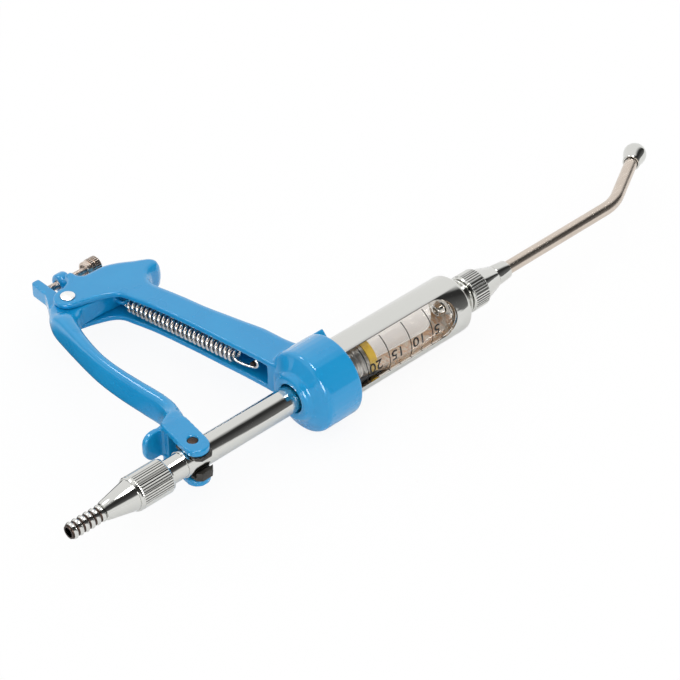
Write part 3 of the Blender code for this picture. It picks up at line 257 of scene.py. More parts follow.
NYLON = moulded("black_moulded_nylon", "#37342F", "#1F1D1A", 0.42, 900.0, 0.0001)
SEAL = moulded("yellow_nitrile_seal", "#EACB4A", "#D6B038", 0.45, 700.0, 0.0001)
RUBBER = moulded("black_rubber", "#2A2A2A", "#181818", 0.60, 900.0, 0.0001)
INK = moulded("black_screen_ink", "#0E0D0C", "#080707", 0.60, 900.0, 0.00002)

# %% [markdown]
# The barrel is borosilicate tube, a little warm in colour. Glass bends the rays that the camera sees. Light on
# its way to the pieces inside is let straight through, or they would lie in a grainy dark.

# %% Glass
GLASS, tree, out = new_material("borosilicate_glass")
shader = add(tree, "ShaderNodeBsdfPrincipled", {
    "Base Color": linear("#FCF9F6"), "Roughness": 0.02, "IOR": 1.47, "Transmission Weight": 1.0})
clear = add(tree, "ShaderNodeBsdfTransparent", {"Color": linear("#FBF8F5")})
path = add(tree, "ShaderNodeLightPath")
either = add(tree, "ShaderNodeMath", {0: path.outputs["Is Shadow Ray"], 1: path.outputs["Is Diffuse Ray"]},
             operation="MAXIMUM")
mixed = add(tree, "ShaderNodeMixShader", {0: either.outputs[0], 1: shader.outputs[0], 2: clear.outputs[0]})
tree.links.new(mixed.outputs[0], out.inputs["Surface"])


# %% [markdown]
# ## From a bmesh to a piece
#
# Every piece here is built in a bmesh, in its place, and then handed to an object at the origin. The piece
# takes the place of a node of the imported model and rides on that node's body, so it moves as the node does.

# %% Helpers for pieces
def piece(name, work, surface, angle=32):
    """Object from a bmesh, shaded smooth but for edges sharper than the angle."""
    mesh = bpy.data.meshes.new(name)
    work.to_mesh(mesh)
    work.free()
    made = bpy.data.objects.new(name, mesh)
    bpy.context.scene.collection.objects.link(made)
    mesh.materials.append(surface)
    mesh.shade_smooth()
    mesh.set_sharp_from_angle(angle=math.radians(angle))
    return made


def stand_in(made, *nodes):
    """The piece replaces these nodes and rides on the body of the first."""
    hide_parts(*nodes)
    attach(made, BODY_OF[nodes[0]])
    print("piece:", made.name, len(made.data.polygons), "faces")
    return made


def grimed(made, picked):
    """Paint shade on the faces that a test picks by their drawing position and normal: they take the dark
    steel.
    """
    made.data.materials.append(BLACKED_STEEL_AND_SHADE)
    for face in made.data.polygons:
        x, y, z = (face.center - spot(0, 0)) / MM
        if picked(x, y, z, face.normal):
            face.material_index = len(made.data.materials) - 1


def applied(made):
    """Bake an object's modifiers into its mesh."""
    graph = bpy.context.evaluated_depsgraph_get()
    graph.update()
    mesh = bpy.data.meshes.new_from_object(made.evaluated_get(graph))
    made.modifiers.clear()
    made.data = mesh
    return made


def spun(profile, steps=96, edge=0.12):
    """Bmesh of a half section of (x, radius) points in millimetres, spun about the barrel axis.

    A section that starts and ends on the axis stays open there; any other is closed into a loop.
    """
    work = bmesh.new()
    verts = [work.verts.new(spot(x, radius)) for x, radius in profile]
    on_axis = profile[0][1] == 0 and profile[-1][1] == 0
    pairs = list(zip(verts, verts[1:])) + ([] if on_axis else [(verts[-1], verts[0])])
    edges = [work.edges.new(pair) for pair in pairs]
    bmesh.ops.spin(work, geom=verts + edges, cent=spot(0, 0), axis=(1, 0, 0), angle=math.tau, steps=steps,
                   use_merge=True)
    bmesh.ops.remove_doubles(work, verts=work.verts, dist=1e-6)
    bmesh.ops.recalc_face_normals(work, faces=work.faces)
    if edge:
        sharp = [e for e in work.edges if len(e.link_faces) == 2 and e.calc_face_angle() > math.radians(25)]
        bmesh.ops.bevel(work, geom=sharp, offset=edge * MM, offset_type="OFFSET", segments=2, profile=0.5,
                        affect="EDGES", material=-1, clamp_overlap=True)
    return work


def arc(cx, cy, radius, start, end, steps):
    """Points of an arc, with angles in degrees."""
    angles = [math.radians(start + (end - start) * i / steps) for i in range(steps + 1)]
    return [(cx + radius * math.cos(a), cy + radius * math.sin(a)) for a in angles]


def cut_out(made, cutter):
    """Cut one piece out of another and remove the cutter."""
    milled = made.modifiers.new("milled", "BOOLEAN")
    milled.operation = "DIFFERENCE"
    milled.solver = "EXACT"
    milled.object = cutter
    applied(made)
    bpy.data.objects.remove(cutter, do_unlink=True)


# %% [markdown]
# ## Castings
#
# The handle and lever come from the mould with every edge rounded by the die and then by the enamel. Their
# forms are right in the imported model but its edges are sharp. A copy is welded, given a fine voxel skin and
# smoothed a few times, which rounds edges and fills inner corners just as a coat of enamel does.

# %% Handle and lever
def enamelled(name, node, voxel, passes):
    """A rounded, smooth skin over a node of the model."""
    work = bmesh.new()
    work.from_mesh(frame["nodes"][node].data)
    bmesh.ops.remove_doubles(work, verts=work.verts, dist=1e-6)
    made = piece(name, work, ENAMEL)
    skin = made.modifiers.new("skin", "REMESH")
    skin.mode = "VOXEL"
    skin.voxel_size = voxel * MM
    soft = made.modifiers.new("soft", "SMOOTH")
    soft.factor = 0.5
    soft.iterations = passes
    applied(made)
    made.data.shade_smooth()
    return stand_in(made, node)


HANDLE = enamelled("enamelled_handle", "handle_casting", voxel=0.52, passes=6)
LEVER = enamelled("enamelled_lever", "trigger_lever", voxel=0.5, passes=7)

# %% [markdown]
# Where two forms of a casting meet, the pattern maker puts a fillet of a few millimetres. Each of these places
# is smoothed many times within a ball, with less effect towards the ball's edge, so that it runs out softly.

# %% Fillets where forms meet
def soften(made, x, y, z, radius, passes):
    """Smooth a piece's points near a drawing position, fading out towards the radius."""
    work = bmesh.new()
    work.from_mesh(made.data)
    centre = spot(x, y, z)
    for share in (1.0, 0.85, 0.7, 0.55):
        near_by = [v for v in work.verts if (v.co - centre).length < radius * share * MM]
        for _ in range(passes // 4):
            bmesh.ops.smooth_vert(work, verts=near_by, factor=0.5, use_axis_x=True, use_axis_y=True,
                                  use_axis_z=True)
    work.to_mesh(made.data)
    work.free()


WHOLE_ARM, NECK_ABOVE_FORK = (-73.0, 72.0, 0.0, 52.0, 48), (-79.0, 25.0, 4.0, 13.0, 60)
NECK_BELOW_FORK, UNDER_HUB = (-79.0, 25.0, -4.0, 13.0, 60), (-66.0, 109.0, 2.0, 8.0, 32)
for place in (WHOLE_ARM, NECK_ABOVE_FORK, NECK_BELOW_FORK, UNDER_HUB):
    soften(LEVER, *place)
BOSS_FOOT, GRIP_REAR = (-43.5, 133.0, 3.0, 6.0, 40), (-24.5, 24.0, 0.0, 5.0, 24)
RING_TOP, RING_UNDERSIDE = (-12.0, 22.0, 7.0, 8.0, 32), (-12.0, 22.0, -7.0, 8.0, 32)
for place in (BOSS_FOOT, GRIP_REAR, RING_TOP, RING_UNDERSIDE):
    soften(HANDLE, *place)
print("fillets: 8")

# %% [markdown]
# The ring was turned in the pattern, so it is truly round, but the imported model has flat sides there. Away
# from the handle each point's distance from the barrel axis depends on x alone. The mean of the clear side
# is measured in thin slices, and every point of the ring moves to the mean of its slice.

# %% True up the ring
SLICE = 0.25
RING_BACK, RING_FACE, RING_REACH = -27.2, 0.2, 22.0
slices = {}
for vert in HANDLE.data.vertices:
    x, y, z = (vert.co - spot(0, 0)) / MM
    out_way = (vert.normal.y * y + vert.normal.z * z) / max(1e-6, math.hypot(y, z))
    if RING_BACK < x < RING_FACE and y < 6 and math.hypot(y, z) < RING_REACH and out_way > 0.5:
        slices.setdefault(round(x / SLICE), []).append(math.hypot(y, z))
true_radius = {key: sum(found) / len(found) for key, found in slices.items() if len(found) > 20}
moved = 0
for vert in HANDLE.data.vertices:
    x, y, z = (vert.co - spot(0, 0)) / MM
    reach = math.hypot(y, z)
    if not (RING_BACK < x < RING_FACE and reach < RING_REACH):
        continue
    out_way = (vert.normal.y * y + vert.normal.z * z) / max(1e-6, reach)
    low = math.floor(x / SLICE)
    if out_way < 0.5 or low not in true_radius or low + 1 not in true_radius:
        continue
    share = x / SLICE - low
    wanted = true_radius[low] * (1 - share) + true_radius[low + 1] * share
    clear_of_handle = min(1.0, max(0.0, max(8 - y, abs(z) - 10) / 3))
    pull = clear_of_handle * min(1.0, max(0.0, (0.9 - abs(wanted - reach)) / 0.4))
    scale = 1 + (wanted / reach - 1) * pull
    vert.co = spot(x, y * scale, z * scale)
    moved += 1
print("ring points moved:", moved)

# %% [markdown]
# ## Barrel sleeve
#
# The sleeve is turned from brass, its windows are milled, and it is plated. Spinning its half section gives
# the turned form. The milled windows are a Boolean cut, square at the handle and round at the nozzle, and a
# small bevel gives their rims the bright line that plated edges have.

# %% Sleeve section
BORE, SLEEVE = 13.0, 14.7
FRONT, SHOULDER = 79.7, 3.4


def bead(low, high, groove, crest):
    """Section of a turned ring with rounded corners between two grooves."""
    return [(low, groove), (low + 0.1, crest - 0.5), (low + 0.5, crest), (high - 0.5, crest),
            (high - 0.1, crest - 0.5), (high, groove)]


section = [(-14.0, BORE), (-14.0, SLEEVE)]
section += [(y, x) for x, y in arc(SLEEVE - SHOULDER, FRONT - SHOULDER, SHOULDER, 0, 84, 12)]
section += [(FRONT, 8.2)] + bead(80.8, 82.3, 8.2, 9.4) + bead(83.4, 84.9, 8.2, 9.4)
section += [(86.0, 8.2), (86.0, 7.2), (91.6, 7.2), (91.6, 6.2), (76.7, 6.2), (76.7, BORE)]
sleeve = piece("barrel_sleeve_plated", spun(section, steps=144, edge=0.1), CHROME)

# %% Milled windows
WINDOW_TURN, WINDOW_HALF = math.radians(62.5), SLEEVE * math.sin(math.radians(40.5))
WINDOW_REAR, WINDOW_FRONT, CORNER, THROUGH = 1.2, 69.1, 1.5, 25.0
outline = [(WINDOW_REAR, -WINDOW_HALF + CORNER)]
outline += arc(WINDOW_REAR + CORNER, -WINDOW_HALF + CORNER, CORNER, 180, 270, 5)[1:]
outline += arc(WINDOW_FRONT - WINDOW_HALF, 0, WINDOW_HALF, -90, 90, 28)
outline += arc(WINDOW_REAR + CORNER, WINDOW_HALF - CORNER, CORNER, 90, 180, 5)
work = bmesh.new()
base = work.faces.new([work.verts.new(Vector((x, y, -THROUGH)) * MM) for x, y in outline])
grown = bmesh.ops.extrude_face_region(work, geom=[base])
lifted = [v for v in grown["geom"] if isinstance(v, bmesh.types.BMVert)]
bmesh.ops.translate(work, vec=(0, 0, 2 * THROUGH * MM), verts=lifted)
bmesh.ops.recalc_face_normals(work, faces=work.faces)
bmesh.ops.rotate(work, cent=(0, 0, 0), matrix=Matrix.Rotation(WINDOW_TURN, 3, "X"), verts=work.verts)
bmesh.ops.translate(work, vec=spot(0, 0), verts=work.verts)
cut_out(sleeve, piece("window_cutter", work, CHROME))
rim = sleeve.modifiers.new("rim", "BEVEL")
rim.width = 0.22 * MM
rim.segments = 2
rim.limit_method = "ANGLE"
rim.angle_limit = math.radians(40)
applied(sleeve)
sleeve.data.shade_smooth()
sleeve.data.set_sharp_from_angle(angle=math.radians(30))
stand_in(sleeve, "barrel_sleeve")

# %% [markdown]
# The plating is thick outside and hardly reaches the bore. The sleeve is one mesh with three materials: a face
# takes brass where it lies nearer to the axis than the outer wall, and the windows' long cut edges take the
# dark steel as painted shade, the dark line of shade that falls along the glass.

# %% Brass bore
sleeve.data.materials.append(BRASS)
sleeve.data.materials.append(BLACKED_STEEL_AND_SHADE)
for face in sleeve.data.polygons:
    x, y, z = face.center - spot(0, 0)
    reach = math.hypot(y, z) / MM
    outwards = abs(face.normal.y * y + face.normal.z * z) / MM / reach
    if reach < BORE + 0.25 and x < 76.8 * MM:
        face.material_index = 1
    elif outwards < 0.4 and abs(face.normal.x) < 0.5 and 0 < x / MM < WINDOW_FRONT:
        # Painted shade: the windows' long cut edges take the dark steel.
        face.material_index = 2
print("sleeve finishes:", len(sleeve.data.materials))

# %% [markdown]
# ## Glass and its print
#
# The glass is a plain tube. Its dose lines run round it, with a short tick for each half step, and the
# numbers read with the nozzle to the left. The print is a thin skin just outside the glass, bent round it.

# %% Glass tube
GLASS_OUT, GLASS_IN = 12.7, 10.6
section = [(-12.5, GLASS_IN), (-12.5, GLASS_OUT), (72.8, GLASS_OUT), (72.8, GLASS_IN)]
stand_in(piece("graduated_glass", spun(section, steps=128, edge=0.2), GLASS), "glass_barrel")


# %% Scale print
SCALE_ZERO, MM_PER_ML = 67.6, 1000 / (math.pi * GLASS_IN ** 2)
PRINT = GLASS_OUT + 0.03
LINE_START, LINE_END, TICK_START = 22, 114, 100
DIGIT_SIZE, DIGIT_STRETCH, DIGIT_TURN, DIGIT_SHIFT = 7.1, 1.22, 68.0, 0.9


def wrapped(x, turn, radius=PRINT):
    """Position on the glass: turn is in degrees from +z towards -y."""
    a = math.radians(turn)
    return spot(x, -radius * math.sin(a), radius * math.cos(a))


def band(work, x, half, start, end, steps):
    """A printed line round the glass between two turns, half is half its width."""
    for i in range(steps):
        a, b = start + (end - start) * i / steps, start + (end - start) * (i + 1) / steps
        corners = ((x - half, a), (x + half, a), (x + half, b), (x - half, b))
        work.faces.new([work.verts.new(wrapped(*corner)) for corner in corners])


marks = bmesh.new()
for ml in (5, 10, 15, 20):
    band(marks, SCALE_ZERO - ml * MM_PER_ML, 0.27, LINE_START, LINE_END, 30)
for ml in (2.5, 7.5, 12.5, 17.5):
    band(marks, SCALE_ZERO - ml * MM_PER_ML, 0.22, TICK_START, LINE_END, 5)
for ml in (5, 10, 15, 20):
    text = bpy.data.curves.new("number", "FONT")
    text.body = str(ml)
    text.size = DIGIT_SIZE
    text.offset = 0.09
    text.align_x = "RIGHT"
    text.resolution_u = 3
    sign = bpy.data.objects.new("number", text)
    bpy.context.scene.collection.objects.link(sign)
    flat = bpy.data.meshes.new_from_object(sign.evaluated_get(bpy.context.evaluated_depsgraph_get()))
    bpy.data.objects.remove(sign, do_unlink=True)
    marks.from_mesh(flat)
    marks.verts.ensure_lookup_table()
    for vert in marks.verts[-len(flat.vertices):]:
        turn = DIGIT_TURN + math.degrees(vert.co.y / PRINT)
        vert.co = wrapped(SCALE_ZERO - ml * MM_PER_ML + DIGIT_SHIFT - DIGIT_STRETCH * vert.co.x, turn)
bmesh.ops.remove_doubles(marks, verts=marks.verts, dist=1e-6)
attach(piece("dose_scale_print", marks, INK), "handle")
print("scale: 5 ml every %.2f mm" % (5 * MM_PER_ML))

# %% [markdown]
# ## Knurls
#
# A straight knurl is pressed into the work by a toothed wheel. The part is spun with four steps to a tooth:
# three rows of points stay out as the tooth's flat crest and one goes in, which leaves a V-shaped groove with
# flanks near 30 degrees. Crests mirror the room as the plain cylinder would and flanks mirror it turned aside,
# so every tooth shows a light line and a dark one. The nut and knob have a few teeth fewer than the real
# ones, so that the lines show. The grooves between the connector's barbs and its bore take dark steel as
# painted shade.

# %% Knurling
def knurl(work, teeth, depth, low, high, radius):
    """Sink the rows of points between the crests. The spin must have four steps to a tooth."""
    for vert in work.verts:
        x, y, z = (vert.co - spot(0, 0)) / MM
        reach = math.hypot(y, z)
        if low <= x <= high and reach > radius - 0.02:
            row = round(math.atan2(z, y) / math.tau * teeth * 4) % 4
            sunk = depth if row == 3 else 0.0
            vert.co = spot(x, y * (reach - sunk) / reach, z * (reach - sunk) / reach)
    return work


# %% [markdown]
# The connector is one turning: a tail with six barbs that the hose is pushed over, a cone, and the knurled cap
# that screws on the tube. The barbs' crests are worn round. One section holds it all, so that nothing has to be
# joined, and the bore runs through.

# %% Hose connector
TEETH, CAP_RADIUS = 42, 8.4
rear, front = -121.9, -102.2
BARBS, BARB_PITCH, TAIL_END = 6, 3.1, -156.2
section = [(TAIL_END, 2.4), (TAIL_END, 3.2)]
for i in range(BARBS):
    foot = TAIL_END + i * BARB_PITCH
    section += [(foot + 0.3, 3.25), (foot + 0.8, 3.6), (foot + 1.3, 3.92), (foot + 1.8, 4.08),
                (foot + 2.2, 4.08), (foot + 2.6, 3.85), (foot + 2.9, 3.4), (foot + BARB_PITCH, 3.1)]
section += [(-137.6, 3.5), (-137.3, 4.1), (-136.6, 4.5), (rear, 7.5), (rear + 0.1, 8.1),
            (rear + 0.7, CAP_RADIUS), (rear + 1.5, CAP_RADIUS), (rear + 1.7, 7.95), (rear + 2.2, CAP_RADIUS),
            (front - 1.4, CAP_RADIUS), (front - 0.7, 7.95), (front - 0.1, 7.8), (front, 7.4), (front, 6.25),
            (-115.2, 6.25), (-115.2, 2.4)]
work = knurl(spun(section, 4 * TEETH, 0), TEETH, 0.20, rear + 2.0, front - 1.2, CAP_RADIUS)
connector = stand_in(piece("knurled_hose_connector", work, CHROME, 20), "hose_connector")
# Painted shade: faces of the barbed tail nearer the axis than 3.45 mm, the grooves between the barbs and the
# bore, take the dark steel.
grimed(connector, lambda x, y, z, normal: x < -137.6 and math.hypot(y, z) < 3.45)

# %% Union nut and ferrule
NUT_TEETH, NUT_RADIUS, TUBE_HOLE = 46, 9.7, 3.7
rear, front = 86.3, 96.9
section = [(rear, 7.5), (rear, 8.9), (rear + 0.6, 9.2), (rear + 1.0, NUT_RADIUS), (front - 0.9, NUT_RADIUS),
           (front - 0.5, 9.2), (front - 0.4, 8.9), (front, 8.7), (107.4, 5.75), (107.8, 5.5),
           (107.8, TUBE_HOLE), (93.9, TUBE_HOLE), (93.9, 7.5)]
work = knurl(spun(section, 4 * NUT_TEETH, 0), NUT_TEETH, 0.28, rear + 0.9, front - 0.8, NUT_RADIUS)
stand_in(piece("knurled_union_nut", work, CHROME, 20), "outlet_union_nut")
section = [(108.1, TUBE_HOLE), (108.1, 5.3), (116.8, 4.7), (116.8, TUBE_HOLE)]
stand_in(piece("ferrule_plated", spun(section, 96, 0.25), CHROME), "nozzle_ferrule")

# %% [markdown]
# The nozzle is one length of tube bent on a former. A circle is extruded along the straight run, spun through
# 28 degrees about the former's centre and extruded again, just as the tube is bent.

# %% Bent nozzle tube
BEND, BEND_RADIUS, VERTEX = math.radians(28), 30.0, 197.6
NOZZLE_REAR, NOZZLE_RADIUS, TIP_AT, IN_TIP = 91.9, 3.4, 38.5, 6.0
start = VERTEX - BEND_RADIUS * math.tan(BEND / 2)
way = Vector((math.cos(BEND), math.sin(BEND), 0))
work = bmesh.new()
bmesh.ops.create_circle(work, segments=48, radius=NOZZLE_RADIUS * MM,
                        matrix=Matrix.Translation(spot(NOZZLE_REAR, 0)) @ Matrix.Rotation(math.pi / 2, 4, "Y"))
edge_loop = work.edges[:]
for run in (spot(start, 0) - spot(NOZZLE_REAR, 0), None, way * (TIP_AT + IN_TIP - (VERTEX - start)) * MM):
    if run is None:
        made = bmesh.ops.spin(work, geom=edge_loop, cent=spot(start, BEND_RADIUS), axis=(0, 0, 1), angle=BEND,
                              steps=24)
        edge_loop = [g for g in made["geom_last"] if isinstance(g, bmesh.types.BMEdge)]
    else:
        made = bmesh.ops.extrude_edge_only(work, edges=edge_loop)["geom"]
        edge_loop = [g for g in made if isinstance(g, bmesh.types.BMEdge) and g.is_boundary]
        bmesh.ops.translate(work, vec=run, verts=[g for g in made if isinstance(g, bmesh.types.BMVert)])
bmesh.ops.holes_fill(work, edges=[e for e in work.edges if e.is_boundary])
bmesh.ops.remove_doubles(work, verts=work.verts, dist=1e-6)
bmesh.ops.recalc_face_normals(work, faces=work.faces)
stand_in(piece("bent_nozzle_tube", work, NOZZLE_STEEL), "nozzle_tube")

# %% [markdown]
# The bulb keeps the tube's end from hurting the animal's mouth. It is turned solid with a 3 mm hole, so it is
# spun on the barrel's axis first, and then turned by the bend and moved to the tube's end.

# %% Bulb tip
profile = [(0, TUBE_HOLE), (0, 4.4), (0.3, 4.6), (1.6, 4.75), (3.2, 5.05), (4.8, 5.45), (6.4, 5.82),
           (7.8, 6.05), (9.0, 6.1), (10.2, 5.9), (11.4, 5.4), (12.5, 4.7), (13.4, 3.9), (14.0, 3.2),
           (14.4, 2.6), (14.4, 1.7), (14.0, 1.5), (7.0, 1.5), (7.0, TUBE_HOLE)]
work = spun(profile, 96, 0)
bmesh.ops.rotate(work, cent=spot(0, 0), matrix=Matrix.Rotation(BEND, 3, "Z"), verts=work.verts)
bmesh.ops.translate(work, vec=(Vector((VERTEX, 0, 0)) + way * TIP_AT) * MM, verts=work.verts)
stand_in(piece("bulb_tip_plated", work, CHROME), "nozzle_tip")

# %% [markdown]
# ## Push tube and piston
#
# The tube is a plated rod with two flats for the blocks, milled with a Boolean cut as a cutter would. The
# piston at its end is turned with grooves, and the yellow seal sits in front of it, cupped so that the liquid
# presses its lip against the glass. The piston's metal is dulled by its work.

# %% Push tube
FORK_X, FLAT_LENGTH, FLAT_HALF, CUTTER = -85.4, 10.6, 4.6, 5.0
section = [(-113.4, 2.4), (-113.4, 5.95), (-93.0, 5.95), (-93.0, 6.6), (5.2, 6.6), (5.2, 2.4)]
tube = piece("push_tube_plated", spun(section, 96, 0.2), CHROME)
for sign in (1, -1):
    work = bmesh.new()
    bmesh.ops.create_cube(work, size=1.0)
    bmesh.ops.scale(work, vec=Vector((FLAT_LENGTH, 18, CUTTER)) * MM, verts=work.verts)
    bmesh.ops.translate(work, vec=spot(FORK_X, 0, sign * (FLAT_HALF + CUTTER / 2)), verts=work.verts)
    cut_out(tube, piece("flat_cutter", work, CHROME))
tube.data.shade_smooth()
tube.data.set_sharp_from_angle(angle=math.radians(30))
stand_in(tube, "push_tube")

# %% Piston, seal and cap
PISTON, GROOVE, PISTON_REAR, GROOVE_PITCH = 10.2, 9.2, 1.5, 3.2
section = [(PISTON_REAR, 6.9), (PISTON_REAR, PISTON)]
for i in range(3):
    middle = PISTON_REAR + GROOVE_PITCH * (i + 1)
    section += [(middle - 0.8, PISTON), (middle - 0.6, GROOVE), (middle + 0.6, GROOVE), (middle + 0.8, PISTON)]
section += [(14.3, PISTON), (14.3, 7.15), (17.0, 7.15), (17.0, 5.9), (7.7, 5.9), (7.7, 1.9), (5.5, 1.9),
            (5.5, 6.9)]
stand_in(piece("piston_turned", spun(section, 96, 0.15), POLISHED), "piston_head")
section = [(14.6, 7.45), (14.6, 10.3), (15.2, 10.45), (18.4, 10.45), (18.9, 10.35), (19.1, 10.0), (19.1, 9.6),
           (18.9, 9.3), (17.0, 9.3), (17.0, 7.45)]
stand_in(piece("piston_seal_ring", spun(section, 96, 0), SEAL), "piston_seal")
section = [(17.3, 5.9), (17.3, 9.0), (18.8, 9.0), (18.8, 5.9)]
stand_in(piece("piston_cap_turned", spun(section, 96, 0.3), CHROME), "piston_cap")

# %% [markdown]
# The outlet valve's body closes the far end of the glass. Its small nose reaches back into the barrel, and
# the flat face round it mirrors the piston and the window rims.

# %% Valve body
section = [(65.0, 1.9), (65.0, 2.4), (65.3, 2.75), (68.2, 3.6), (68.2, 9.9), (68.6, 10.3), (74.6, 10.3),
           (74.6, 12.7), (76.4, 12.7), (76.4, 5.9), (91.6, 5.9), (91.6, 4.2), (78.0, 4.2), (78.0, 1.9)]
stand_in(piece("valve_body_turned", spun(section, 96, 0.08), CHROME), "outlet_valve_body")

# %% [markdown]
# ## Dose screw and knob
#
# The rod has a real thread: one pitch of its section is spun with a shift along the axis at each step, so it
# climbs as it turns. The knob is nickel plated, with a smooth collar and two knurled bands. The bottoms of the
# knurl take the dark steel as painted shade.

# %% Threaded rod
SCREW_Y, PITCH = 141.6, 1.0
work = bmesh.new()
low, high = -56.7, -28.9
turns = int((high - low) / PITCH)
ROOT, CREST, STEPS = 1.55, 1.9, 24
thread = ((0, ROOT), (0.35, CREST), (0.65, CREST), (PITCH, ROOT))
verts = [work.verts.new(spot(low + x, SCREW_Y + r)) for x, r in thread]
edges = [work.edges.new(pair) for pair in zip(verts, verts[1:])]
climb = (PITCH / STEPS * MM, 0, 0)
bmesh.ops.spin(work, geom=verts + edges, cent=spot(0, SCREW_Y), axis=(1, 0, 0), dvec=climb,
               angle=math.tau * turns, steps=STEPS * turns)
bmesh.ops.remove_doubles(work, verts=work.verts, dist=2e-6)
for x, clear in ((low + 1.0, True), (high - 0.4, False)):
    bmesh.ops.bisect_plane(work, geom=work.verts[:] + work.edges[:] + work.faces[:], plane_co=spot(x, 0),
                           plane_no=(1, 0, 0), clear_inner=clear, clear_outer=not clear)
    bmesh.ops.holes_fill(work, edges=[e for e in work.edges if e.is_boundary])
bmesh.ops.recalc_face_normals(work, faces=work.faces)
stand_in(piece("threaded_dose_rod", work, NICKEL), "dose_screw")

# %% Knurled knob
KNOB_TEETH, KNOB_RADIUS = 26, 4.7
k = -34.0       # the knob's inner end
section = [(k + 5.4, 0), (k + 5.4, 2.2), (k + 0.9, 2.2), (k + 0.9, 3.0), (k, 3.2), (k, 4.0), (k + 0.4, 4.4),
           (k + 2.5, 4.4), (k + 2.7, 4.0), (k + 2.9, 4.0), (k + 3.1, KNOB_RADIUS), (k + 4.9, KNOB_RADIUS),
           (k + 5.1, 4.1), (k + 5.4, 4.1), (k + 5.6, KNOB_RADIUS), (k + 7.9, KNOB_RADIUS), (k + 8.2, 4.3),
           (k + 8.5, 3.9), (k + 8.5, 0)]
work = knurl(spun(section, 4 * KNOB_TEETH, 0), KNOB_TEETH, 0.20, k + 3.0, k + 8.0, KNOB_RADIUS)
bmesh.ops.translate(work, vec=(0, SCREW_Y * MM, 0), verts=work.verts)
knob = stand_in(piece("knurled_dose_knob", work, NICKEL, 20), "dose_knob")
# Painted shade: the bottoms of the knurl take the dark steel.
grimed(knob, lambda x, y, z, normal: (k + 3.0 < x < k + 8.0 and abs(normal.x) < 0.3
                                      and abs(math.hypot(y - SCREW_Y, z) - KNOB_RADIUS + 0.12) < 0.06))


# %% [markdown]
# ## Pins and blocks
#
# The lever pivots on a rivet with a domed, polished head. The fork pins are blacked steel, set just below the
# ears' faces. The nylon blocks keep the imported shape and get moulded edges.

# %% Pivot rivet
def on_pin(profile, x, y, steps=64, edge=0.0):
    """A turned piece whose axis runs along z at a drawing position."""
    work = spun(profile, steps, edge)
    bmesh.ops.rotate(work, cent=spot(0, 0), matrix=Matrix.Rotation(-math.pi / 2, 3, "Y"), verts=work.verts)
    bmesh.ops.translate(work, vec=Vector((x, y, 0)) * MM, verts=work.verts)
    return work


HEAD, HEAD_RADIUS, SHANK, UNDER_HEAD = 9.7, 3.6, 2.9, 8.8
radii = (0, 0.8, 1.5, 2.1, 2.6, 3.0, 3.3, 3.5, HEAD_RADIUS)
dome = [(HEAD - 0.75 * (r / HEAD_RADIUS) ** 2.6, r) for r in radii]
shank = [(-UNDER_HEAD, 3.5), (-UNDER_HEAD, SHANK), (UNDER_HEAD, SHANK), (UNDER_HEAD, 3.5)]
profile = [(-x, r) for x, r in dome] + shank + list(reversed(dome))
stand_in(piece("domed_rivet", on_pin(profile, -59.0, 122.0), POLISHED), "pivot_pin")

# %% Fork pins
FORK_PIN = 2.3
for node, low, high in (("fork_pin_upper", 5.2, 10.0), ("fork_pin_lower", -10.0, -5.2)):
    profile = [(low, 0), (low, FORK_PIN), (high, FORK_PIN), (high, 0)]
    work = on_pin(profile, FORK_X, 0, 48, 0.25)
    stand_in(piece(node.replace("fork_pin", "blacked_fork_pin"), work, BLACKED_STEEL_AND_SHADE), node)


# %% Moulded blocks
for node in ("slide_block_upper", "slide_block_lower"):
    work = bmesh.new()
    work.from_mesh(frame["nodes"][node].data)
    bmesh.ops.remove_doubles(work, verts=work.verts, dist=1e-6)
    bmesh.ops.dissolve_limit(work, angle_limit=math.radians(2), verts=work.verts, edges=work.edges)
    sharp = [e for e in work.edges if len(e.link_faces) == 2 and e.calc_face_angle() > math.radians(30)]
    bmesh.ops.bevel(work, geom=sharp, offset=0.3 * MM, offset_type="OFFSET", segments=2, profile=0.5,
                    affect="EDGES", material=-1, clamp_overlap=True)
    stand_in(piece(node.replace("slide", "nylon"), work, NYLON), node)


# %% [markdown]
# ## Springs
#
# The return spring is hard-drawn wire wound on a mandrel, with a hook at each end. Its route is a formula,
# and a bevelled curve gives the wire its thickness. It is made in its place at rest and rides on no body, so
# it does not stretch with the lever's joint.

# %% Wire along a route
def coil(start, end, radius, turns, points, phase=0.0):
    """Points of a helix from one drawing position to another."""
    axis = (end - start).normalized()
    side = axis.cross(Vector((0, 0, 1))).normalized()
    other = axis.cross(side)
    total = round(turns * points)
    found = []
    for i in range(total + 1):
        a = phase + math.tau * turns * i / total
        found.append(start.lerp(end, i / total) + side * radius * math.cos(a) + other * radius * math.sin(a))
    return found


def bezier(p0, p1, p2, p3, steps):
    """Points of a cubic curve, without its first point."""
    found = []
    for i in range(1, steps + 1):
        t = i / steps
        found.append(p0 * (1 - t) ** 3 + p1 * 3 * t * (1 - t) ** 2 + p2 * 3 * t ** 2 * (1 - t) + p3 * t ** 3)
    return found


def through(points, steps):
    """A smooth curve through the points, with this many steps between two of them."""
    found = []
    for i in range(len(points) - 1):
        a, b, c, d = (points[max(0, min(len(points) - 1, i + k))] for k in (-1, 0, 1, 2))
        for t in (j / steps for j in range(steps)):
            found.append(0.5 * (2 * b + (c - a) * t + (2 * a - 5 * b + 4 * c - d) * t ** 2
                                + (3 * b - a - 3 * c + d) * t ** 3))
    return found + points[-1:]


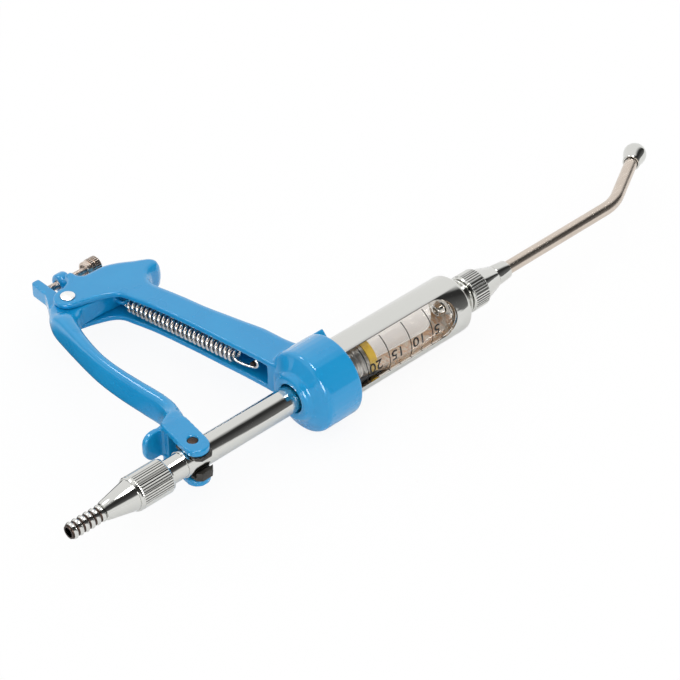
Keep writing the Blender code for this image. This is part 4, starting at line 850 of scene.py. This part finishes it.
def wire(name, route, radius, surface, sides=4):
    """Closed mesh of a round wire along drawing positions."""
    curve = bpy.data.curves.new(name, "CURVE")
    curve.dimensions = "3D"
    curve.bevel_depth = radius * MM
    curve.bevel_resolution = sides
    curve.use_fill_caps = True
    spline = curve.splines.new("POLY")
    spline.points.add(len(route) - 1)
    for point, place in zip(spline.points, route):
        point.co = (*spot(*place), 1)
    guide = bpy.data.objects.new(name + "_guide", curve)
    bpy.context.scene.collection.objects.link(guide)
    mesh = bpy.data.meshes.new_from_object(guide.evaluated_get(bpy.context.evaluated_depsgraph_get()))
    bpy.data.objects.remove(guide, do_unlink=True)
    work = bmesh.new()
    work.from_mesh(mesh)
    bmesh.ops.remove_doubles(work, verts=work.verts, dist=1e-7)
    bmesh.ops.recalc_face_normals(work, faces=work.faces)
    return piece(name, work, surface, 60)


# %% Return spring
WIRE, COIL = 0.85, 3.4
far, near = Vector((-23.0, 40.4, 0)), Vector((-33.9, 104.0, 0))
axis, up = (near - far).normalized(), Vector((0, 0, 1))
side = axis.cross(up)
windings = coil(far, near, COIL, 23.9, 28, math.radians(-150))
anchor = far + axis * ((30.8 - far.y) / axis.y)
HOOK = 1.2 + 0.3 + WIRE
route = [anchor + (axis * math.cos(math.radians(a)) + up * math.sin(math.radians(a))) * HOOK
         for a in range(110, 256, 10)]
way_back = [(-7.2, -0.9, -2.05), (-5.0, -1.9, -1.4), (-3.0, -2.7, -0.6), (-1.2, -3.3, 0.5)]
route += through([anchor - up * HOOK] + [far + axis * a + side * b + up * c for a, b, c in way_back]
                 + windings[:1], 6)
route += windings[1:]
eye = far + axis * ((110.0 - far.y) / axis.y)
loop = eye - axis * 2.9
turn = [loop + (axis * math.cos(math.radians(a)) + up * math.sin(math.radians(a))) * 2.9
        for a in range(100, -141, -10)]
route += bezier(windings[-1], windings[-1] + up * 2.2 + axis * 0.5, turn[0] - axis * 1.6, turn[0], 12)
route += turn[1:]
spring = wire("wound_return_spring", route, WIRE, SPRING_STEEL)
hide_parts("return_spring")
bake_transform(spring)
print("spring: %d points" % len(route))

# %% [markdown]
# Each valve spring is a short coil between its valve and the piece that holds it. It is made at rest in its
# place and rides on no body.

# %% Valve springs
for node, holder, valve, radius, turns in (("inlet_valve_spring", "push_tube", "inlet_valve", 2.5, 2),
                                           ("outlet_valve_spring", "handle", "outlet_valve", 2.9, 5)):
    low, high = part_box(node)
    low, high = low.x / MM + BASE.x + 0.35, high.x / MM + BASE.x - 0.35
    helix = coil(Vector((low, 0, 0)), Vector((high, 0, 0)), radius, turns, 20)
    made = wire("wound_" + node, helix, 0.35, SPRING_STEEL, 2)
    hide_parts(node)
    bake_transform(made)

# %% [markdown]
# Gaskets, washers, valve discs, the nozzle's collar and the anchor pin are plain rings, discs and pins. Their
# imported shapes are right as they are, so they only take a finish.

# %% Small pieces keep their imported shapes
KEPT = {"rear_glass_gasket": RUBBER, "front_glass_gasket": RUBBER, "hose_washer": RUBBER, "inlet_valve": RUBBER,
        "outlet_valve": RUBBER, "nozzle_collar": NOZZLE_STEEL, "inlet_valve_retainer": SPRING_STEEL,
        # The anchor pin's dark steel also stands in for the shade of the channel round it: painted shade.
        "spring_anchor_pin": BLACKED_STEEL_AND_SHADE}
for node, surface in KEPT.items():
    for slot in frame["nodes"][node].material_slots:
        slot.material = surface
print("kept:", ", ".join(KEPT))

# %% [markdown]
# ## Studio
#
# The gun lies on a white sweep under an even white dome, as for a catalogue. Chrome needs something dark to
# mirror, or it looks like white plastic, so the dome is dark for reflections on the camera's side, between
# straight up and the horizon. That draws the long black streak down every turned part. A dark card on the
# floor beyond the lever, seen in reflections alone, keeps the blue deep on the sides that face it.

# %% Floor
SHADOW_SHARE = 0.09
work = bmesh.new()
bmesh.ops.create_grid(work, x_segments=1, y_segments=1, size=3.0)
white, tree, out = new_material("white_sweep")
shader = add(tree, "ShaderNodeBsdfPrincipled", {"Base Color": linear("#FFFFFF"), "Roughness": 1.0,
                                                "Specular IOR Level": 0.0})
glow = add(tree, "ShaderNodeEmission", {"Color": linear("#FFFFFF"), "Strength": 1.0})
path = add(tree, "ShaderNodeLightPath")
share = add(tree, "ShaderNodeMath", {0: path.outputs["Is Camera Ray"], 1: 1 - SHADOW_SHARE},
            operation="MULTIPLY")
mixed = add(tree, "ShaderNodeMixShader", {0: share.outputs[0], 1: shader.outputs[0], 2: glow.outputs[0]})
place = add(tree, "ShaderNodeSeparateXYZ", {"Vector": add(tree, "ShaderNodeTexCoord").outputs["Object"]})
beyond = add(tree, "ShaderNodeMapRange", {"Value": place.outputs["X"], "From Min": -0.07, "From Max": -0.12})
above = add(tree, "ShaderNodeMapRange", {"Value": place.outputs["Y"], "From Min": -0.03, "From Max": 0.0})
under = add(tree, "ShaderNodeMapRange", {"Value": place.outputs["Y"], "From Min": 0.095, "From Max": 0.075})
card = path.outputs["Is Glossy Ray"]
for side in (above, under, beyond):
    card = add(tree, "ShaderNodeMath", {0: card, 1: side.outputs["Result"]}, operation="MULTIPLY").outputs[0]
black = add(tree, "ShaderNodeEmission", {"Color": linear("#303030"), "Strength": 1.0})
carded = add(tree, "ShaderNodeMixShader", {0: card, 1: mixed.outputs[0], 2: black.outputs[0]})
tree.links.new(carded.outputs[0], out.inputs["Surface"])
floor = piece("white_sweep", work, white)
print("floor shadow share:", SHADOW_SHARE)

# %% [markdown]
# Only reflections see the dome's pattern; all other rays see even white. The dark part is measured as a turn
# round the barrel's axis, so that it makes a streak of the same breadth on every turned piece. It falls off a
# little towards the camera's floor side, and a second dark part lies low behind the lever. Three small
# softboxes draw the bright lines along the enamel's rounded edges.

# %% Dome
world = bpy.data.worlds.new("dome")
bpy.context.scene.world = world
world.use_nodes = True
tree = world.node_tree
tree.nodes.clear()
out = tree.nodes.new("ShaderNodeOutputWorld")
ray = add(tree, "ShaderNodeTexCoord").outputs["Generated"]
part = add(tree, "ShaderNodeSeparateXYZ", {"Vector": ray})
flipped = add(tree, "ShaderNodeMath", {0: part.outputs["Y"], 1: -1.0}, operation="MULTIPLY")
turn = add(tree, "ShaderNodeMath", {0: flipped.outputs[0], 1: part.outputs["Z"]}, operation="ARCTAN2")
rise = add(tree, "ShaderNodeMapRange", {"Value": turn.outputs[0], "From Min": math.radians(-10),
                                        "From Max": math.radians(20)}, interpolation_type="SMOOTHSTEP")
shift = add(tree, "ShaderNodeMapRange", {"Value": part.outputs["X"], "From Min": 0.1, "From Max": 0.5,
                                         "To Min": math.radians(28), "To Max": 0.0})
ahead = add(tree, "ShaderNodeMath", {0: turn.outputs[0], 1: shift.outputs["Result"]}, operation="ADD")
fall = add(tree, "ShaderNodeMapRange", {"Value": ahead.outputs[0], "From Min": math.radians(86),
                                        "From Max": math.radians(98), "To Min": 1.0, "To Max": 0.0},
           interpolation_type="SMOOTHSTEP")
dark = add(tree, "ShaderNodeMath", {0: rise.outputs["Result"], 1: fall.outputs["Result"]}, operation="MULTIPLY")
left = add(tree, "ShaderNodeMapRange", {"Value": part.outputs["X"], "From Min": -0.1, "From Max": -0.35},
           interpolation_type="SMOOTHSTEP")
beyond = add(tree, "ShaderNodeMapRange", {"Value": part.outputs["Y"], "From Min": 0.0, "From Max": 0.2})
below = add(tree, "ShaderNodeMapRange", {"Value": part.outputs["Z"], "From Min": 0.3, "From Max": 0.0})
back = left.outputs["Result"]
for side in (beyond, below):
    back = add(tree, "ShaderNodeMath", {0: back, 1: side.outputs["Result"]}, operation="MULTIPLY").outputs[0]
dark = add(tree, "ShaderNodeMath", {0: dark.outputs[0], 1: back}, operation="MAXIMUM")
deep = add(tree, "ShaderNodeMapRange", {"Value": turn.outputs[0], "From Min": math.radians(35),
                                        "From Max": math.radians(90), "To Min": 0.035, "To Max": 0.20})
level = add(tree, "ShaderNodeMapRange", {"Value": dark.outputs[0], "To Min": 1.0,
                                         "To Max": deep.outputs["Result"]})
boxes = level.outputs["Result"]
SOFTBOXES = (((-0.20, 0.57, 0.80), 10.0, 0.990), ((-0.84, -0.49, 0.26), 12.0, 0.975),
             ((0.05, -0.08, 1.0), 18.0, 0.985))
for way, strength, edge in SOFTBOXES:
    near_to = add(tree, "ShaderNodeVectorMath", {0: ray, 1: Vector(way).normalized()}, operation="DOT_PRODUCT")
    lit = add(tree, "ShaderNodeMapRange", {"Value": near_to.outputs["Value"], "From Min": edge,
                                           "From Max": edge + 0.005, "To Max": strength})
    boxes = add(tree, "ShaderNodeMath", {0: boxes, 1: lit.outputs["Result"]}, operation="ADD").outputs[0]
path = add(tree, "ShaderNodeLightPath")
seen = add(tree, "ShaderNodeMix", {"Factor": path.outputs["Is Glossy Ray"], "A": 1.0, "B": boxes},
           data_type="FLOAT")
light = add(tree, "ShaderNodeBackground", {"Color": linear("#FFFFFF"), "Strength": seen.outputs["Result"]})
tree.links.new(light.outputs[0], out.inputs["Surface"])
bpy.context.scene.view_settings.view_transform = "Standard"
print("softboxes:", len(SOFTBOXES))
